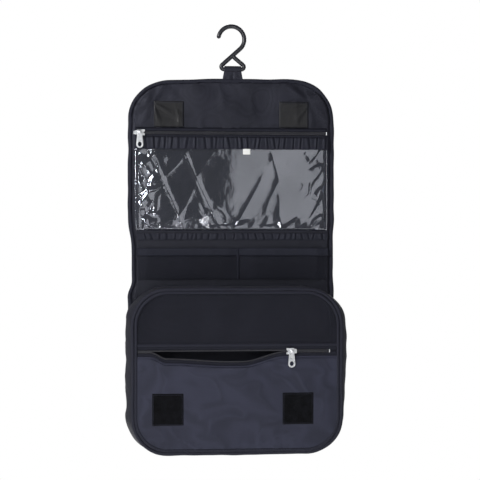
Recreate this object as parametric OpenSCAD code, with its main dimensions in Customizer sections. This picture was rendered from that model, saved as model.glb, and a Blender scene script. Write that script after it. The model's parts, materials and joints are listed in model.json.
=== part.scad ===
// Hanging toiletry bag: a hook, a top panel with a zipped clear pocket, a middle panel
// with two mesh pockets, and a zipped lower bag. The panels fold up over the bag's front.
// +X is to the right, +Y is towards the wall behind, +Z is up. The origin is the centre of
// the hook's round curve, where the rail or peg sits.

/* [Hook] */
// Thickness of the hook's rod
hook_rod_d = 5; // [4:0.5:6]
// Radius of the hook's round curve, to the middle of the rod
hook_curve_r = 15; // [13:0.5:18]
// Width of the flat band inside the curve, which rests on the rail
hook_band_w = 1.5; // [1:0.5:3]
// Depth of the base bar below the centre of the curve
hook_bar_drop = 35; // [33:0.5:40]

/* [Panels] */
// Width of the hanging panels
panel_w = 240; // [220:5:280]
// Thickness of the hanging panels
panel_t = 5; // [4:0.5:6]
// Height of the top panel, from its top edge to the upper fold
top_h = 178; // [175:1:200]
// Height of the middle panel, from fold to fold
mid_h = 56; // [55:1:62]
// Drop from the hook's base bar to the top panel
loop_drop = 11; // [9:1:20]
// Radius of the top panel's upper corners
top_corner_r = 48; // [30:1:55]
// Width of the rolled edge binding
binding_w = 7.5; // [6:0.5:9]

/* [Clear pocket] */
// Height of the clear window
window_h = 94; // [85:1:96]
// Depth of the clear pocket, in front of the lining
window_depth = 5.6; // [5:0.1:6]
// Drop from the top panel's upper edge to the middle of its zip
window_zip_drop = 64; // [63:0.5:66]

/* [Mesh pockets] */
// Depth of the mesh pockets, in front of the lining
mesh_depth = 5; // [4.9:0.1:5.2]
// Drop from the upper fold to the top of the pocket hem
hem_drop = 19; // [17:0.5:22]
// Height of the pocket hem
hem_h = 9; // [7:0.5:11]
// Place of the divider between the two mesh pockets
divider_x = 7.5; // [-20:0.5:20]

/* [Lower bag] */
// Width of the lower bag's side wall, across the bag
bag_w = 236; // [232:1:240]
// Height of the lower bag
bag_h = 186; // [180:0.5:190]
// Depth from the front of the hanging panels to the lower bag's front
bag_depth = 43.5; // [40:0.5:43.5]
// Radius of the lower bag's corners
bag_corner_r = 42; // [30:1:50]
// Drop from the top of the lower bag to the middle of its zip
bag_zip_drop = 71; // [66:0.5:76]
// Greatest sag of the open zip's lower lip
lip_sag = 10.5; // [10:0.5:11]
// Thickness of the piping
piping_d = 4.6; // [3.6:0.2:4.8]

/* [Touch fasteners] */
// Width of each touch fastener patch
patch_w = 34; // [28:1:38]
// Distance from the middle of the bag to the middle of each patch
patch_x = 72.5; // [60:0.5:76]
// Thickness of each touch fastener patch
patch_t = 1.5; // [1:0.1:1.8]

/* [Zips] */
// Diameter of each coil
coil_d = 1.6; // [1.4:0.1:1.8]
// Gap between the two coils of a zip, where the slider's neck runs
coil_gap = 1; // [0.9:0.1:1.2]
// Length of a slider's body
slider_l = 11.5; // [10:0.5:12]
// Width of a slider's body
slider_w = 7.4; // [7:0.1:8]
// Length of a pull tab, from its eye to its far end
pull_l = 18; // [15:0.5:20]

/* [Hidden] */

$fn = 64;

// Thicknesses
shell_t = 1;
tape_t = 0.6;
front_t = 1.2;
pvc_t = 0.6;
mesh_t = 0.5;
strap_t = 0.8;
gap = 0.3;

// Levels, from the top down
bar_z = -hook_bar_drop;
top_z = bar_z - loop_drop;
upper_fold_z = top_z - top_h;
lower_fold_z = upper_fold_z - mid_h;
bag_top_z = lower_fold_z - 6;
bag_bottom_z = bag_top_z - bag_h;
window_zip_z = top_z - window_zip_drop;
bag_zip_z = bag_top_z - bag_zip_drop;

// Planes, from the back to the front
back_y = panel_t / 2;
face_y = -panel_t / 2;
bag_front_y = face_y - bag_depth;
window_zip_y = face_y - 3.4;
bag_zip_y = bag_front_y + tape_t;

// Places along X
inner_x = panel_w / 2 - binding_w;
window_x = inner_x - 2;
window_zip_end_x = 111;
window_slider_x = -105.5;
bag_zip_left_x = -107.5;
bag_zip_right_x = 107;
bag_slider_x = 65;
bag_inner_x = bag_w / 2 - piping_d - 0.2;

// Zip sections
coil_off = (coil_gap + coil_d) / 2;
tape_edge = coil_off + coil_d / 2;

// The open zip's lower lip: [place along X, share of the sag]
lip = [
    [-bag_inner_x, 0], [bag_zip_left_x, 0], [-91.5, 0], [-85, 0.35], [-77, 0.62], [-66, 0.69],
    [-40, 0.85], [-4, 1], [12, 0.99], [26, 0.72], [40, 0.26], [48, 0.06], [54, 0], [bag_inner_x, 0],
];

// ---- Shared shapes ----

// A flat shape drawn in X and Z, as a plate from y_front to y_back
module plate(y_front, y_back) {
    translate([0, y_back, 0])
        rotate([90, 0, 0])
            linear_extrude(y_back - y_front)
                children();
}

// A flat shape drawn in Y and Z, as a bar from x_low to x_high
module bar_along_x(x_low, x_high) {
    translate([x_low, 0, 0])
        rotate([90, 0, 90])
            linear_extrude(x_high - x_low)
                children();
}

module block(low, high) {
    translate(low)
        cube(high - low);
}

// A panel's outline with two round upper corners
module arch(w, z_low, z_high, r) {
    translate([-w / 2, z_low])
        square([w, z_high - z_low - r]);
    translate([-w / 2 + r, z_low])
        square([w - 2 * r, z_high - z_low]);
    for (side = [-1, 1])
        translate([side * (w / 2 - r), z_high - r])
            circle(r);
}

// A panel's outline with two round lower corners
module tub(w, z_low, z_high, r) {
    translate([0, z_low + z_high])
        mirror([0, 1])
            arch(w, z_low, z_high, r);
}

// The lower bag's outline, with four round corners, set in from its edge
module bag_outline(inset) {
    r = bag_corner_r - inset;
    w = bag_w - 2 * inset;
    low = bag_bottom_z + inset;
    high = bag_top_z - inset;
    arch(w, low + r, high, r);
    tub(w, low, high - r, r);
}

// A round tube along the lower bag's outline
module piping_ring(y, d) {
    inset = d / 2;
    r = bag_corner_r - inset;
    x = bag_w / 2 - bag_corner_r;
    z_high = bag_top_z - bag_corner_r;
    z_low = bag_bottom_z + bag_corner_r;
    corners = [[x, z_high, 0], [-x, z_high, 90], [-x, z_low, 180], [x, z_low, 270]];
    for (c = corners)
        translate([c[0], y, c[1]])
            rotate([90, 0, 0])
                rotate([0, 0, c[2]])
                    rotate_extrude(angle = 90)
                        translate([r, 0])
                            circle(d / 2);
    for (z = [bag_top_z - inset, bag_bottom_z + inset])
        translate([-x, y, z])
            rotate([0, 90, 0])
                cylinder(h = 2 * x, d = d);
    for (side = [-1, 1])
        translate([side * (bag_w / 2 - inset), y, z_low])
            cylinder(h = z_high - z_low, d = d);
}

// The padded layers that all three panels share, on a given outline
module layer_shell() {
    plate(back_y - shell_t, back_y)
        children();
}
module layer_padding() {
    plate(face_y + shell_t, back_y - shell_t)
        children();
}
module layer_lining() {
    plate(face_y, face_y + shell_t)
        children();
}

// One zip coil along X
module coil(x_low, x_high, y, z) {
    translate([x_low, y, z])
        rotate([0, 90, 0])
            cylinder(h = x_high - x_low, d = coil_d);
}

// A slider's body on its zip: a plate in front of the coils and one behind them, joined by
// a neck between the coils, with the headed post that its pull hangs on
module slider_body(x, y, z, back_t) {
    front = y - coil_d / 2 - gap;
    back = y + coil_d / 2 + gap;
    shoulder = slider_w / 2;
    translate([x, 0, z]) {
        plate(front - 1.2, front)
            slider_outline(slider_l, slider_w);
        plate(back, back + back_t)
            slider_outline(slider_l - 1, slider_w - 1);
        block([-slider_l / 2 + 1, front - 0.1, -0.25], [slider_l / 2 - 4, back + 0.1, 0.25]);
        translate([0, front - 1.1, 0])
            rotate([90, 0, 0])
                cylinder(h = 1.7 + gap * 2 - 0.1, r = 0.9);
        translate([0, front - 2.4 - 2 * gap, 0])
            rotate([90, 0, 0])
                cylinder(h = 0.8, r = 1.9);
    }
}

// The slider's shape: square shoulders over the open end, tapering to the closed end
module slider_outline(l, w) {
    polygon([
        [-l / 2, -w / 2], [l / 6, -w / 2], [l / 2, -w / 3],
        [l / 2, w / 3], [l / 6, w / 2], [-l / 2, w / 2],
    ]);
}

// A pull tab: narrow at its eye, wide at its finger end, with an eye and a round hole
module slider_pull(x, y, z) {
    front = y - coil_d / 2 - gap - 1.2;
    top_r = 2.7;
    low_r = 4;
    drop = pull_l - low_r;
    translate([x, 0, z])
        plate(front - gap - 1.2, front - gap)
            difference() {
                union() {
                    circle(top_r);
                    translate([0, -drop])
                        circle(low_r);
                    translate([0.2 - top_r, -drop])
                        square([2 * top_r - 0.4, drop]);
                }
                circle(1.2);
                translate([0, -drop])
                    circle(2.3);
            }
}

// ---- Hook ----

// The straight part of the hook leaves the curve at this angle below +X
leave = 48;
// The lower left bend starts at this angle, and the right leg rises at the next one
left_turn = 132;
fillet_r = 3;
bar_low_x = -8.7;
bar_high_x = 11.5;
leg_rise = 40;

module rod(from, to) {
    run = to - from;
    translate([from[0], 0, from[1]])
        rotate([0, atan2(run[0], run[1]), 0])
            cylinder(h = norm(run), d = hook_rod_d);
}

// Part of a ring in the hook's plane, swept from one angle, with the rod's own section
module rod_bend(centre, r, start, sweep) {
    translate([centre[0], 0, centre[1]])
        rotate([90, 0, 0])
            rotate([0, 0, start])
                rotate_extrude(angle = sweep)
                    translate([r, 0])
                        circle(d = hook_rod_d);
}

// A slight swelling where two stretches of the rod meet
module knuckle(place) {
    translate([place[0], 0, place[1]])
        sphere(d = hook_rod_d + 0.2);
}

module hanging_hook() {
    rod_r = hook_rod_d / 2;
    flat_x = hook_curve_r - sqrt(rod_r * rod_r - hook_band_w * hook_band_w / 4);
    tip = 178;
    low_z = bar_z + fillet_r;
    curve_end = [hook_curve_r * cos(leave), -hook_curve_r * sin(leave)];
    left_start = [bar_low_x + fillet_r * cos(left_turn), low_z + fillet_r * sin(left_turn)];
    right_end = [bar_high_x + fillet_r * cos(90 - leg_rise), low_z + fillet_r * sin(90 - leg_rise)];
    // Where the right leg meets the long straight rod
    along = left_start - curve_end;
    up_leg = [-cos(leg_rise), sin(leg_rise)];
    crossing = right_end + up_leg * cross(curve_end - right_end, along) / cross(up_leg, along);
    color("#26272c") {
        rotate([90, 0, 0])
            rotate([0, 0, -leave])
                rotate_extrude(angle = tip + leave)
                    difference() {
                        translate([hook_curve_r, 0])
                            circle(d = hook_rod_d);
                        translate([flat_x - 5, -5])
                            square([5, 10]);
                    }
        knuckle(hook_curve_r * [cos(tip - 2), sin(tip - 2)]);
        knuckle(curve_end);
        rod(curve_end, left_start);
        knuckle(left_start);
        rod_bend([bar_low_x, low_z], fillet_r, left_turn, 270 - left_turn);
        knuckle([bar_low_x, bar_z]);
        rod([bar_low_x, bar_z], [bar_high_x, bar_z]);
        knuckle([bar_high_x, bar_z]);
        rod_bend([bar_high_x, low_z], fillet_r, 270, 180 - leg_rise);
        knuckle(right_end);
        rod(right_end, crossing);
        knuckle(crossing);
    }
}

// ---- Top panel ----

module hanger_loop() {
    low_x = bar_low_x + 1.2;
    high_x = bar_high_x - 1.2;
    bore_r = hook_rod_d / 2 + 0.06;
    outer_r = bore_r + strap_t;
    color("#2c2d36")
        difference() {
            bar_along_x(low_x, high_x)
                union() {
                    translate([0, bar_z])
                        circle(outer_r);
                    translate([-strap_t, top_z])
                        square([2 * strap_t, bar_z - top_z]);
                }
            translate([low_x - 1, 0, bar_z])
                rotate([0, 90, 0])
                    cylinder(h = high_x - low_x + 2, r = bore_r);
        }
}

module top_inner(clear, z_low = upper_fold_z + gap) {
    inset = binding_w + clear;
    arch(panel_w - 2 * inset, z_low, top_z - inset, top_corner_r - inset);
}

module top_outer_shell() {
    color("#34363f")
        layer_shell()
            top_inner(0.2);
}

module top_padding() {
    color("#9a9a9a")
        layer_padding()
            top_inner(0.4);
}

module top_lining() {
    color("#2b2c35")
        layer_lining()
            top_inner(0.2);
}

module top_binding() {
    color("#2a2b34")
        plate(face_y, back_y)
            difference() {
                arch(panel_w, upper_fold_z + gap, top_z, top_corner_r);
                top_inner(0, upper_fold_z - gap);
            }
}

module hook_tape(side) {
    color("#141418")
        block([side * patch_x - patch_w / 2, face_y - patch_t, top_z - 57],
              [side * patch_x + patch_w / 2, face_y, top_z - 27]);
}

module hook_tape_left() hook_tape(-1);
module hook_tape_right() hook_tape(1);

// The tapes of the clear pocket's zip stand on the lining, clear of the slider's back plate
module window_zip_tape(side) {
    edge = window_zip_z + side * tape_edge;
    far = window_zip_z + side * 5;
    low = min(edge, far);
    high = max(edge, far);
    color("#24252c") {
        block([-inner_x + 1, window_zip_y - tape_t / 2, low],
              [window_zip_end_x, window_zip_y + tape_t / 2, high]);
        block([-inner_x + 1, window_zip_y + tape_t / 2, side > 0 ? high - 0.8 : low],
              [window_zip_end_x, face_y, side > 0 ? high : low + 0.8]);
    }
}

module window_zip_tape_upper() window_zip_tape(1);
module window_zip_tape_lower() window_zip_tape(-1);

module window_zip_coil_upper() {
    color("#3a3b42")
        coil(-inner_x + 1, window_zip_end_x - 1.2, window_zip_y, window_zip_z + coil_off);
}

module window_zip_coil_lower() {
    color("#3a3b42")
        coil(-inner_x + 1, window_zip_end_x - 1.2, window_zip_y, window_zip_z - coil_off);
}

module zip_stops(places, y, z) {
    color("#8d8f95")
        for (x = places)
            block([x - 0.5, y - coil_d / 2, z - coil_off - 0.6], [x + 0.5, y + coil_d / 2, z + coil_off + 0.6]);
}

module window_zip_stops() zip_stops([-inner_x + 0.5, window_zip_end_x - 0.7], window_zip_y, window_zip_z);

window_top_z = upper_fold_z + 1.5 + window_h;
window_front_y = face_y - window_depth;

// The gathered band slopes out from the zip to the front of the clear window
module window_gathered_trim() {
    high = window_zip_z - 5.1;
    color("#202128")
        bar_along_x(-window_x, window_x)
            polygon([
                [face_y, high], [window_zip_y - tape_t / 2, high],
                [window_front_y, window_top_z], [window_front_y + 1, window_top_z],
                [window_zip_y + 0.6, high - 1], [face_y, high - 1],
            ]);
}

module clear_window() {
    low = upper_fold_z + 1.5;
    wall = 0.8;
    color("#b9c2c9", 0.35)
        difference() {
            block([-window_x, window_front_y, low], [window_x, face_y, window_top_z]);
            block([-window_x + wall, window_front_y + pvc_t, low + wall],
                  [window_x - wall, face_y + 1, window_top_z + 1]);
        }
}

module care_tag() {
    color("#f1f1ee")
        block([13, window_front_y - 0.4, window_top_z - 6], [21.5, window_front_y - 0.1, window_top_z]);
}

module window_slider_body() {
    color("#c9cbd0")
        slider_body(window_slider_x, window_zip_y, window_zip_z, 0.6);
}

module window_slider_pull() {
    color("#c9cbd0")
        slider_pull(window_slider_x, window_zip_y, window_zip_z);
}

// ---- Middle panel ----

module fold_strip(z) {
    color("#2f313a")
        block([-inner_x, back_y - shell_t, z - gap], [inner_x, back_y, z + gap]);
}

module upper_fold_strip() fold_strip(upper_fold_z);
module lower_fold_strip() fold_strip(lower_fold_z);

module mid_inner() {
    translate([-inner_x + 0.2, lower_fold_z + gap])
        square([2 * inner_x - 0.4, mid_h - 2 * gap]);
}

module mid_outer_shell() {
    color("#34363f")
        layer_shell()
            mid_inner();
}

module mid_padding() {
    color("#9a9a9a")
        layer_padding()
            mid_inner();
}

module mid_lining() {
    color("#22232a")
        layer_lining()
            mid_inner();
}

module mid_binding(side) {
    x = side * (panel_w / 2 - binding_w / 2);
    color("#2a2b34")
        block([x - binding_w / 2, face_y, lower_fold_z + gap], [x + binding_w / 2, back_y, upper_fold_z - gap]);
}

module mid_binding_left() mid_binding(-1);
module mid_binding_right() mid_binding(1);

module fold_trim() {
    color("#202128")
        block([-inner_x + 0.2, face_y - 1.5, upper_fold_z - 9.5], [inner_x - 0.2, face_y, upper_fold_z - 2]);
}

mesh_front_y = face_y - mesh_depth;
mesh_high_z = upper_fold_z - hem_drop - hem_h;
mesh_low_z = lower_fold_z + 1;

// A mesh pocket: a front, a bottom and one outer side; the divider closes the other side
module mesh_pocket(x_low, x_high, outer) {
    wall = 0.8;
    color("#1b1c22") {
        block([x_low, mesh_front_y, mesh_low_z], [x_high, mesh_front_y + mesh_t, mesh_high_z]);
        block([x_low, mesh_front_y + mesh_t, mesh_low_z], [x_high, face_y, mesh_low_z + wall]);
        block([outer < 0 ? x_low : x_high - wall, mesh_front_y + mesh_t, mesh_low_z],
              [outer < 0 ? x_low + wall : x_high, face_y, mesh_high_z]);
    }
}

module mesh_pocket_left() mesh_pocket(-inner_x + 0.2, divider_x - 1.5, -1);
module mesh_pocket_right() mesh_pocket(divider_x + 1.5, inner_x - 0.2, 1);

module pocket_hem() {
    color("#3a3b44")
        block([-inner_x + 0.2, mesh_front_y, mesh_high_z], [inner_x - 0.2, mesh_front_y + 1, mesh_high_z + hem_h]);
}

module pocket_divider() {
    color("#24252c")
        block([divider_x - 1.5, mesh_front_y, mesh_low_z], [divider_x + 1.5, face_y, mesh_high_z]);
}

// ---- Lower bag ----

module bag_back_inner(clear, z_high = lower_fold_z - gap) {
    inset = binding_w + clear;
    tub(panel_w - 2 * inset, bag_bottom_z + inset, z_high, bag_corner_r - inset);
}

module bag_outer_back() {
    color("#34363f")
        layer_shell()
            bag_back_inner(0.2);
}

module bag_back_padding() {
    color("#9a9a9a")
        layer_padding()
            bag_back_inner(0.4);
}

module bag_back_lining() {
    color("#22232a")
        layer_lining()
            bag_back_inner(0.2);
}

module bag_back_binding() {
    color("#2a2b34")
        plate(face_y, back_y)
            difference() {
                tub(panel_w, bag_bottom_z, lower_fold_z - gap, bag_corner_r);
                bag_back_inner(0, lower_fold_z + gap);
            }
}

gusset_back_y = face_y - piping_d;
gusset_front_y = bag_front_y - 1.3 + piping_d + 0.1;
gusset_t = 1.2;

module gusset_ring(z_low, z_high) {
    plate(gusset_front_y, gusset_back_y)
        intersection() {
            difference() {
                bag_outline(0);
                bag_outline(gusset_t);
            }
            translate([-bag_w, z_low])
                square([2 * bag_w, z_high - z_low]);
        }
}

module bag_gusset_top() {
    color("#31333c")
        gusset_ring(bag_top_z - bag_corner_r, bag_top_z + 1);
}

module bag_gusset_lower() {
    color("#31333c")
        gusset_ring(bag_bottom_z - 1, bag_top_z - bag_corner_r);
}

module bag_front_piping() {
    color("#2a2b34")
        piping_ring(bag_front_y - 1.3 + piping_d / 2, piping_d);
}

module bag_back_piping() {
    color("#2a2b34")
        piping_ring(face_y - piping_d / 2, piping_d);
}

// Where the mesh ends and the upper zip tape starts
bag_tape_h = 6;
mesh_edge_z = bag_zip_z + tape_edge + bag_tape_h;

module bag_front_mesh() {
    color("#1b1c22")
        plate(bag_front_y + 0.3, bag_front_y + 0.3 + mesh_t)
            intersection() {
                bag_outline(piping_d + 0.2);
                translate([-bag_w, mesh_edge_z])
                    square([2 * bag_w, bag_h]);
            }
}

module bag_zip_tape_upper() {
    color("#24252c")
        block([-bag_inner_x, bag_zip_y - tape_t / 2, bag_zip_z + tape_edge],
              [bag_inner_x, bag_zip_y + tape_t / 2, mesh_edge_z]);
}

// A ribbon that follows the open zip's lower lip, from one drop below the zip to another
module lip_ribbon(high_drop, low_drop, points) {
    upper = [for (p = points) [p[0], bag_zip_z - high_drop - lip_sag * p[1]]];
    lower = [for (p = points) [p[0], bag_zip_z - low_drop - lip_sag * p[1]]];
    count = len(points);
    polygon(concat(upper, [for (i = [1:count]) lower[count - i]]));
}

module bag_zip_tape_lower() {
    color("#24252c")
        plate(bag_zip_y - tape_t / 2, bag_zip_y + tape_t / 2)
            lip_ribbon(tape_edge, tape_edge + bag_tape_h, lip);
}

// The stretch of the lower lip between the zip's two ends
toothed_lip = concat(
    [for (p = lip) if (p[0] >= bag_zip_left_x && p[0] < bag_zip_right_x) p],
    [[bag_zip_right_x, 0]]
);

module bag_zip_coil_lower() {
    color("#3a3b42")
        plate(bag_zip_y - coil_d / 2, bag_zip_y + coil_d / 2)
            lip_ribbon(coil_gap / 2, tape_edge, toothed_lip);
}

module bag_zip_coil_upper() {
    color("#3a3b42")
        coil(bag_zip_left_x, bag_zip_right_x, bag_zip_y, bag_zip_z + coil_off);
}

module bag_zip_stops() zip_stops([bag_zip_left_x - 0.5, bag_zip_right_x + 0.5], bag_zip_y, bag_zip_z);

module bag_front_panel() {
    color("#3a3c4b")
        plate(bag_front_y, bag_front_y + front_t)
            intersection() {
                bag_outline(piping_d + 0.2);
                lip_ribbon(tape_edge + bag_tape_h, bag_h, lip);
            }
}

module loop_tape(side) {
    z = bag_zip_z - 63.5;
    color("#17171b")
        block([side * (patch_x - 0.5) - patch_w / 2, bag_front_y - patch_t, z - 17.5],
              [side * (patch_x - 0.5) + patch_w / 2, bag_front_y, z + 17.5]);
}

module loop_tape_left() loop_tape(-1);
module loop_tape_right() loop_tape(1);

module bag_slider_body() {
    color("#c9cbd0")
        slider_body(bag_slider_x, bag_zip_y, bag_zip_z, 0.8);
}

module bag_slider_pull() {
    color("#c9cbd0")
        slider_pull(bag_slider_x, bag_zip_y, bag_zip_z);
}

hanging_hook();
hanger_loop();
top_outer_shell();
top_padding();
top_lining();
top_binding();
hook_tape_left();
hook_tape_right();
window_zip_tape_upper();
window_zip_tape_lower();
window_zip_coil_upper();
window_zip_coil_lower();
window_zip_stops();
window_gathered_trim();
clear_window();
care_tag();
window_slider_body();
window_slider_pull();
upper_fold_strip();
mid_outer_shell();
mid_padding();
mid_lining();
mid_binding_left();
mid_binding_right();
fold_trim();
mesh_pocket_left();
mesh_pocket_right();
pocket_hem();
pocket_divider();
lower_fold_strip();
bag_outer_back();
bag_back_padding();
bag_back_lining();
bag_back_binding();
bag_gusset_top();
bag_gusset_lower();
bag_front_mesh();
bag_front_panel();
bag_front_piping();
bag_back_piping();
loop_tape_left();
loop_tape_right();
bag_zip_tape_upper();
bag_zip_tape_lower();
bag_zip_coil_upper();
bag_zip_coil_lower();
bag_zip_stops();
bag_slider_body();
bag_slider_pull();
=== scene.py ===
"""The looks of the hanging toiletry bag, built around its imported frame. Metres, +Z up."""

import json
import math

import bmesh
import bpy
import numpy as np
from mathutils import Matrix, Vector


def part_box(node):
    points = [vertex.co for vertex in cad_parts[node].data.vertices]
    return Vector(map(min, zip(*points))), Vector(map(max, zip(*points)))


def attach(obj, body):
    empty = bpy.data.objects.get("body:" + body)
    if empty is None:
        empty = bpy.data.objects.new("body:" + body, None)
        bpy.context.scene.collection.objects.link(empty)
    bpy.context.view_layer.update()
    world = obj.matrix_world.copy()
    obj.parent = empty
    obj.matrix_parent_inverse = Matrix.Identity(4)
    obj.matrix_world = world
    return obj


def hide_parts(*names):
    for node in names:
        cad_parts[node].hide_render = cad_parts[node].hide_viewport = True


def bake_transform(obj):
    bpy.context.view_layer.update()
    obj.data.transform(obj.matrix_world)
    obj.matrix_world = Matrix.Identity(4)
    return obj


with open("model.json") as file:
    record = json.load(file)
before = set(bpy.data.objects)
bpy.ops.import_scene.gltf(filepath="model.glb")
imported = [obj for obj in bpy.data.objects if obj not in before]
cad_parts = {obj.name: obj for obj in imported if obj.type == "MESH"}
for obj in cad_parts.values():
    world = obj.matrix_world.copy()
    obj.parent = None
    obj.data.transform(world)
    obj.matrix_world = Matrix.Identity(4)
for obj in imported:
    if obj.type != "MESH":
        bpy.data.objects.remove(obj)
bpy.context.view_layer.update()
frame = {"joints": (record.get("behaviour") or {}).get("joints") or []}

MM = 0.001


# ---- Places, all from the frame ----

def box(name):
    """A CAD node's lowest and highest corners."""
    return np.array(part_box(name))


def joint_z(name):
    return next(joint for joint in frame["joints"] if joint["name"] == name)["pos_m"][2]


def zip_place(node):
    """A zip's two ends in X, and the Y and Z of its middle line."""
    low, high = box(node)
    return low[0], high[0], (low[1] + high[1]) / 2, (low[2] + high[2]) / 2 - COIL_OFF


HALF_W, BACK_Y, TOP_Z = box("top_binding")[1]
FACE_Y = box("top_binding")[0][1]
BAR_Z, UPPER_FOLD_Z, LOWER_FOLD_Z = (joint_z(name) for name in ("hook_swing", "upper_fold", "lower_fold"))
MID_Z = (UPPER_FOLD_Z + LOWER_FOLD_Z) / 2
INNER_X = HALF_W - np.ptp(box("mid_binding_right"), axis=0)[0]
TOP_R = 48 * MM
FOLD_REACH = 5 * MM
CLOTH_INSET = 5.5 * MM

BAG_HALF_W, _, BAG_TOP_Z = box("bag_front_piping")[1]
BAG_BOTTOM_Z = box("bag_front_piping")[0][2]
PIPING_D = np.ptp(box("bag_front_piping"), axis=0)[1]
BAG_R = 42 * MM
BAG_FRONT_Y = box("bag_front_panel")[0][1]
LEAN = 5 * MM

COIL_OFF = 1.3 * MM
TOOTH_PITCH = 1.3 * MM
WINDOW_ZIP = zip_place("window_zip_coil_upper")
WINDOW_ZIP_Z = WINDOW_ZIP[3]
BAG_ZIP = zip_place("bag_zip_coil_upper")
BAG_ZIP_Z = BAG_ZIP[3]
WINDOW_LOW, WINDOW_HIGH = box("clear_window")


# ---- Camera, lights and stage ----

CAMERA_AIM = Vector((10.0 * MM, 0, -233.6 * MM))
CAMERA_DISTANCE = 0.95
CAMERA_TURN = math.radians(3.0)
FRAME_HEIGHT = 0.559
SENSOR = 36
LIGHTS_AIM = Vector((0, 0, -0.25))


def aimed(name, data, place, aim):
    """A camera or a light that looks at a point."""
    thing = bpy.data.objects.new(name, data)
    bpy.context.collection.objects.link(thing)
    thing.location = place
    thing.rotation_euler = (aim - Vector(place)).to_track_quat("-Z", "Y").to_euler()
    return thing


def make_camera():
    back = Vector((-math.sin(CAMERA_TURN), -math.cos(CAMERA_TURN), 0))
    place = CAMERA_AIM + back * CAMERA_DISTANCE
    camera = aimed("camera", bpy.data.cameras.new("camera"), place, CAMERA_AIM)
    camera.data.sensor_width = SENSOR
    camera.data.lens = SENSOR * CAMERA_DISTANCE / FRAME_HEIGHT
    camera.data.clip_start = 0.01
    bpy.context.scene.camera = camera


def make_stage():
    """White surroundings, soft lights and a pale floor well below the bag."""
    world = bpy.data.worlds.new("studio")
    bpy.context.scene.world = world
    world.use_nodes = True
    tree = world.node_tree
    tree.nodes.clear()
    dim = node(tree, "Background", Color=(0.95, 0.97, 1, 1), Strength=0.2)
    white = node(tree, "Background", Color=(1, 1, 1, 1))
    mix = node(tree, "MixShader", Fac=node(tree, "LightPath").outputs["Is Camera Ray"])
    tree.links.new(dim.outputs[0], mix.inputs[1])
    tree.links.new(white.outputs[0], mix.inputs[2])
    node(tree, "OutputWorld", Surface=mix.outputs[0])

    for name, place, size, power in (
        ("key", (-1.05, -0.85, 0.45), 0.5, 14), ("card", (0.47, -1.5, -0.02), 0.85, 3.3),
        ("glint_left", (-0.62, -1.35, 0.02), 0.21, 3.0), ("glint_low", (-0.12, -1.4, -0.5), 0.09, 0.6),
        ("fill", (-0.55, -1.3, -0.6), 0.8, 3), ("back", (0.3, 1.3, 0.5), 0.9, 12),
    ):
        light = aimed(name, bpy.data.lights.new(name, "AREA"), place, LIGHTS_AIM)
        light.data.size, light.data.energy = size, power

    bpy.ops.mesh.primitive_circle_add(vertices=96, radius=1.4, fill_type="NGON", location=(0, 0, -1.0))
    floor = bpy.context.object
    floor.name = "floor"
    pale, _, _ = principled("pale_floor", (0.6, 0.6, 0.6), 0.9, Specular_IOR_Level=0.0,
                            Emission_Color=(1, 1, 1, 1), Emission_Strength=0.78)
    floor.data.materials.append(pale)


# ---- Materials ----

DULL_BLUE = (0.78, 0.81, 1, 1)


def feed(tree, item, **inputs):
    """Sets a node's inputs, each to a value or to another node's output."""
    for name, value in inputs.items():
        socket = item.inputs[name.replace("_", " ")]
        if isinstance(value, bpy.types.NodeSocket):
            tree.links.new(value, socket)
        else:
            socket.default_value = value
    return item


def node(tree, kind, **inputs):
    """A new shader node in a tree, with its inputs set."""
    return feed(tree, tree.nodes.new("ShaderNode" + kind), **inputs)


def principled(name, colour, rough, **inputs):
    """A new material, its node tree and its one Principled shader."""
    material = bpy.data.materials.new(name)
    material.use_nodes = True
    tree = material.node_tree
    material.diffuse_color = (*colour, 1)
    shader = feed(tree, tree.nodes["Principled BSDF"], Base_Color=(*colour, 1), Roughness=rough, **inputs)
    return material, tree, shader


def coordinates(tree):
    for item in tree.nodes:
        if item.bl_idname == "ShaderNodeTexCoord":
            return item.outputs["Object"]
    return node(tree, "TexCoord").outputs["Object"]


def noise(tree, scale, detail, rough=0.5):
    return node(tree, "TexNoise", Vector=coordinates(tree), Scale=scale, Detail=detail,
                Roughness=rough).outputs["Fac"]


def bands(tree, axis, pitch, wobble=0.0):
    """Parallel ridges across an axis, one every pitch."""
    wave = node(tree, "TexWave", Vector=coordinates(tree), Scale=math.pi / (10 * pitch), Distortion=wobble,
                Detail=2, Detail_Scale=1.5)
    wave.bands_direction = axis
    return wave.outputs["Fac"]


def combine(tree, kind, a, b):
    item = tree.nodes.new("ShaderNodeMath")
    item.operation = kind
    for socket, value in zip(item.inputs, (a, b)):
        if isinstance(value, (int, float)):
            socket.default_value = value
        else:
            tree.links.new(value, socket)
    return item.outputs[0]


def tint(tree, shader, factor, colour, dark, light):
    """The base colour runs from dark to light times the colour as the factor goes from 0 to 1."""
    ramp = node(tree, "ValToRGB", Fac=factor)
    for element, place, share in zip(ramp.color_ramp.elements, (0.3, 0.7), (dark, light)):
        element.position = place
        element.color = (*[c * share for c in colour], 1)
    feed(tree, shader, Base_Color=ramp.outputs["Color"])


def bump(tree, shader, height, distance):
    relief = node(tree, "Bump", Height=height, Distance=distance, Strength=1.0)
    feed(tree, shader, Normal=relief.outputs["Normal"])


def vary_rough(tree, shader, factor, low, high):
    spread = node(tree, "MapRange", Value=factor, To_Min=low, To_Max=high)
    feed(tree, shader, Roughness=spread.outputs["Result"])


def plain(name, colour, rough):
    material, tree, shader = principled(name, colour, rough)
    tint(tree, shader, noise(tree, 60, 3), colour, 0.97, 1.03)
    return material


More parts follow.
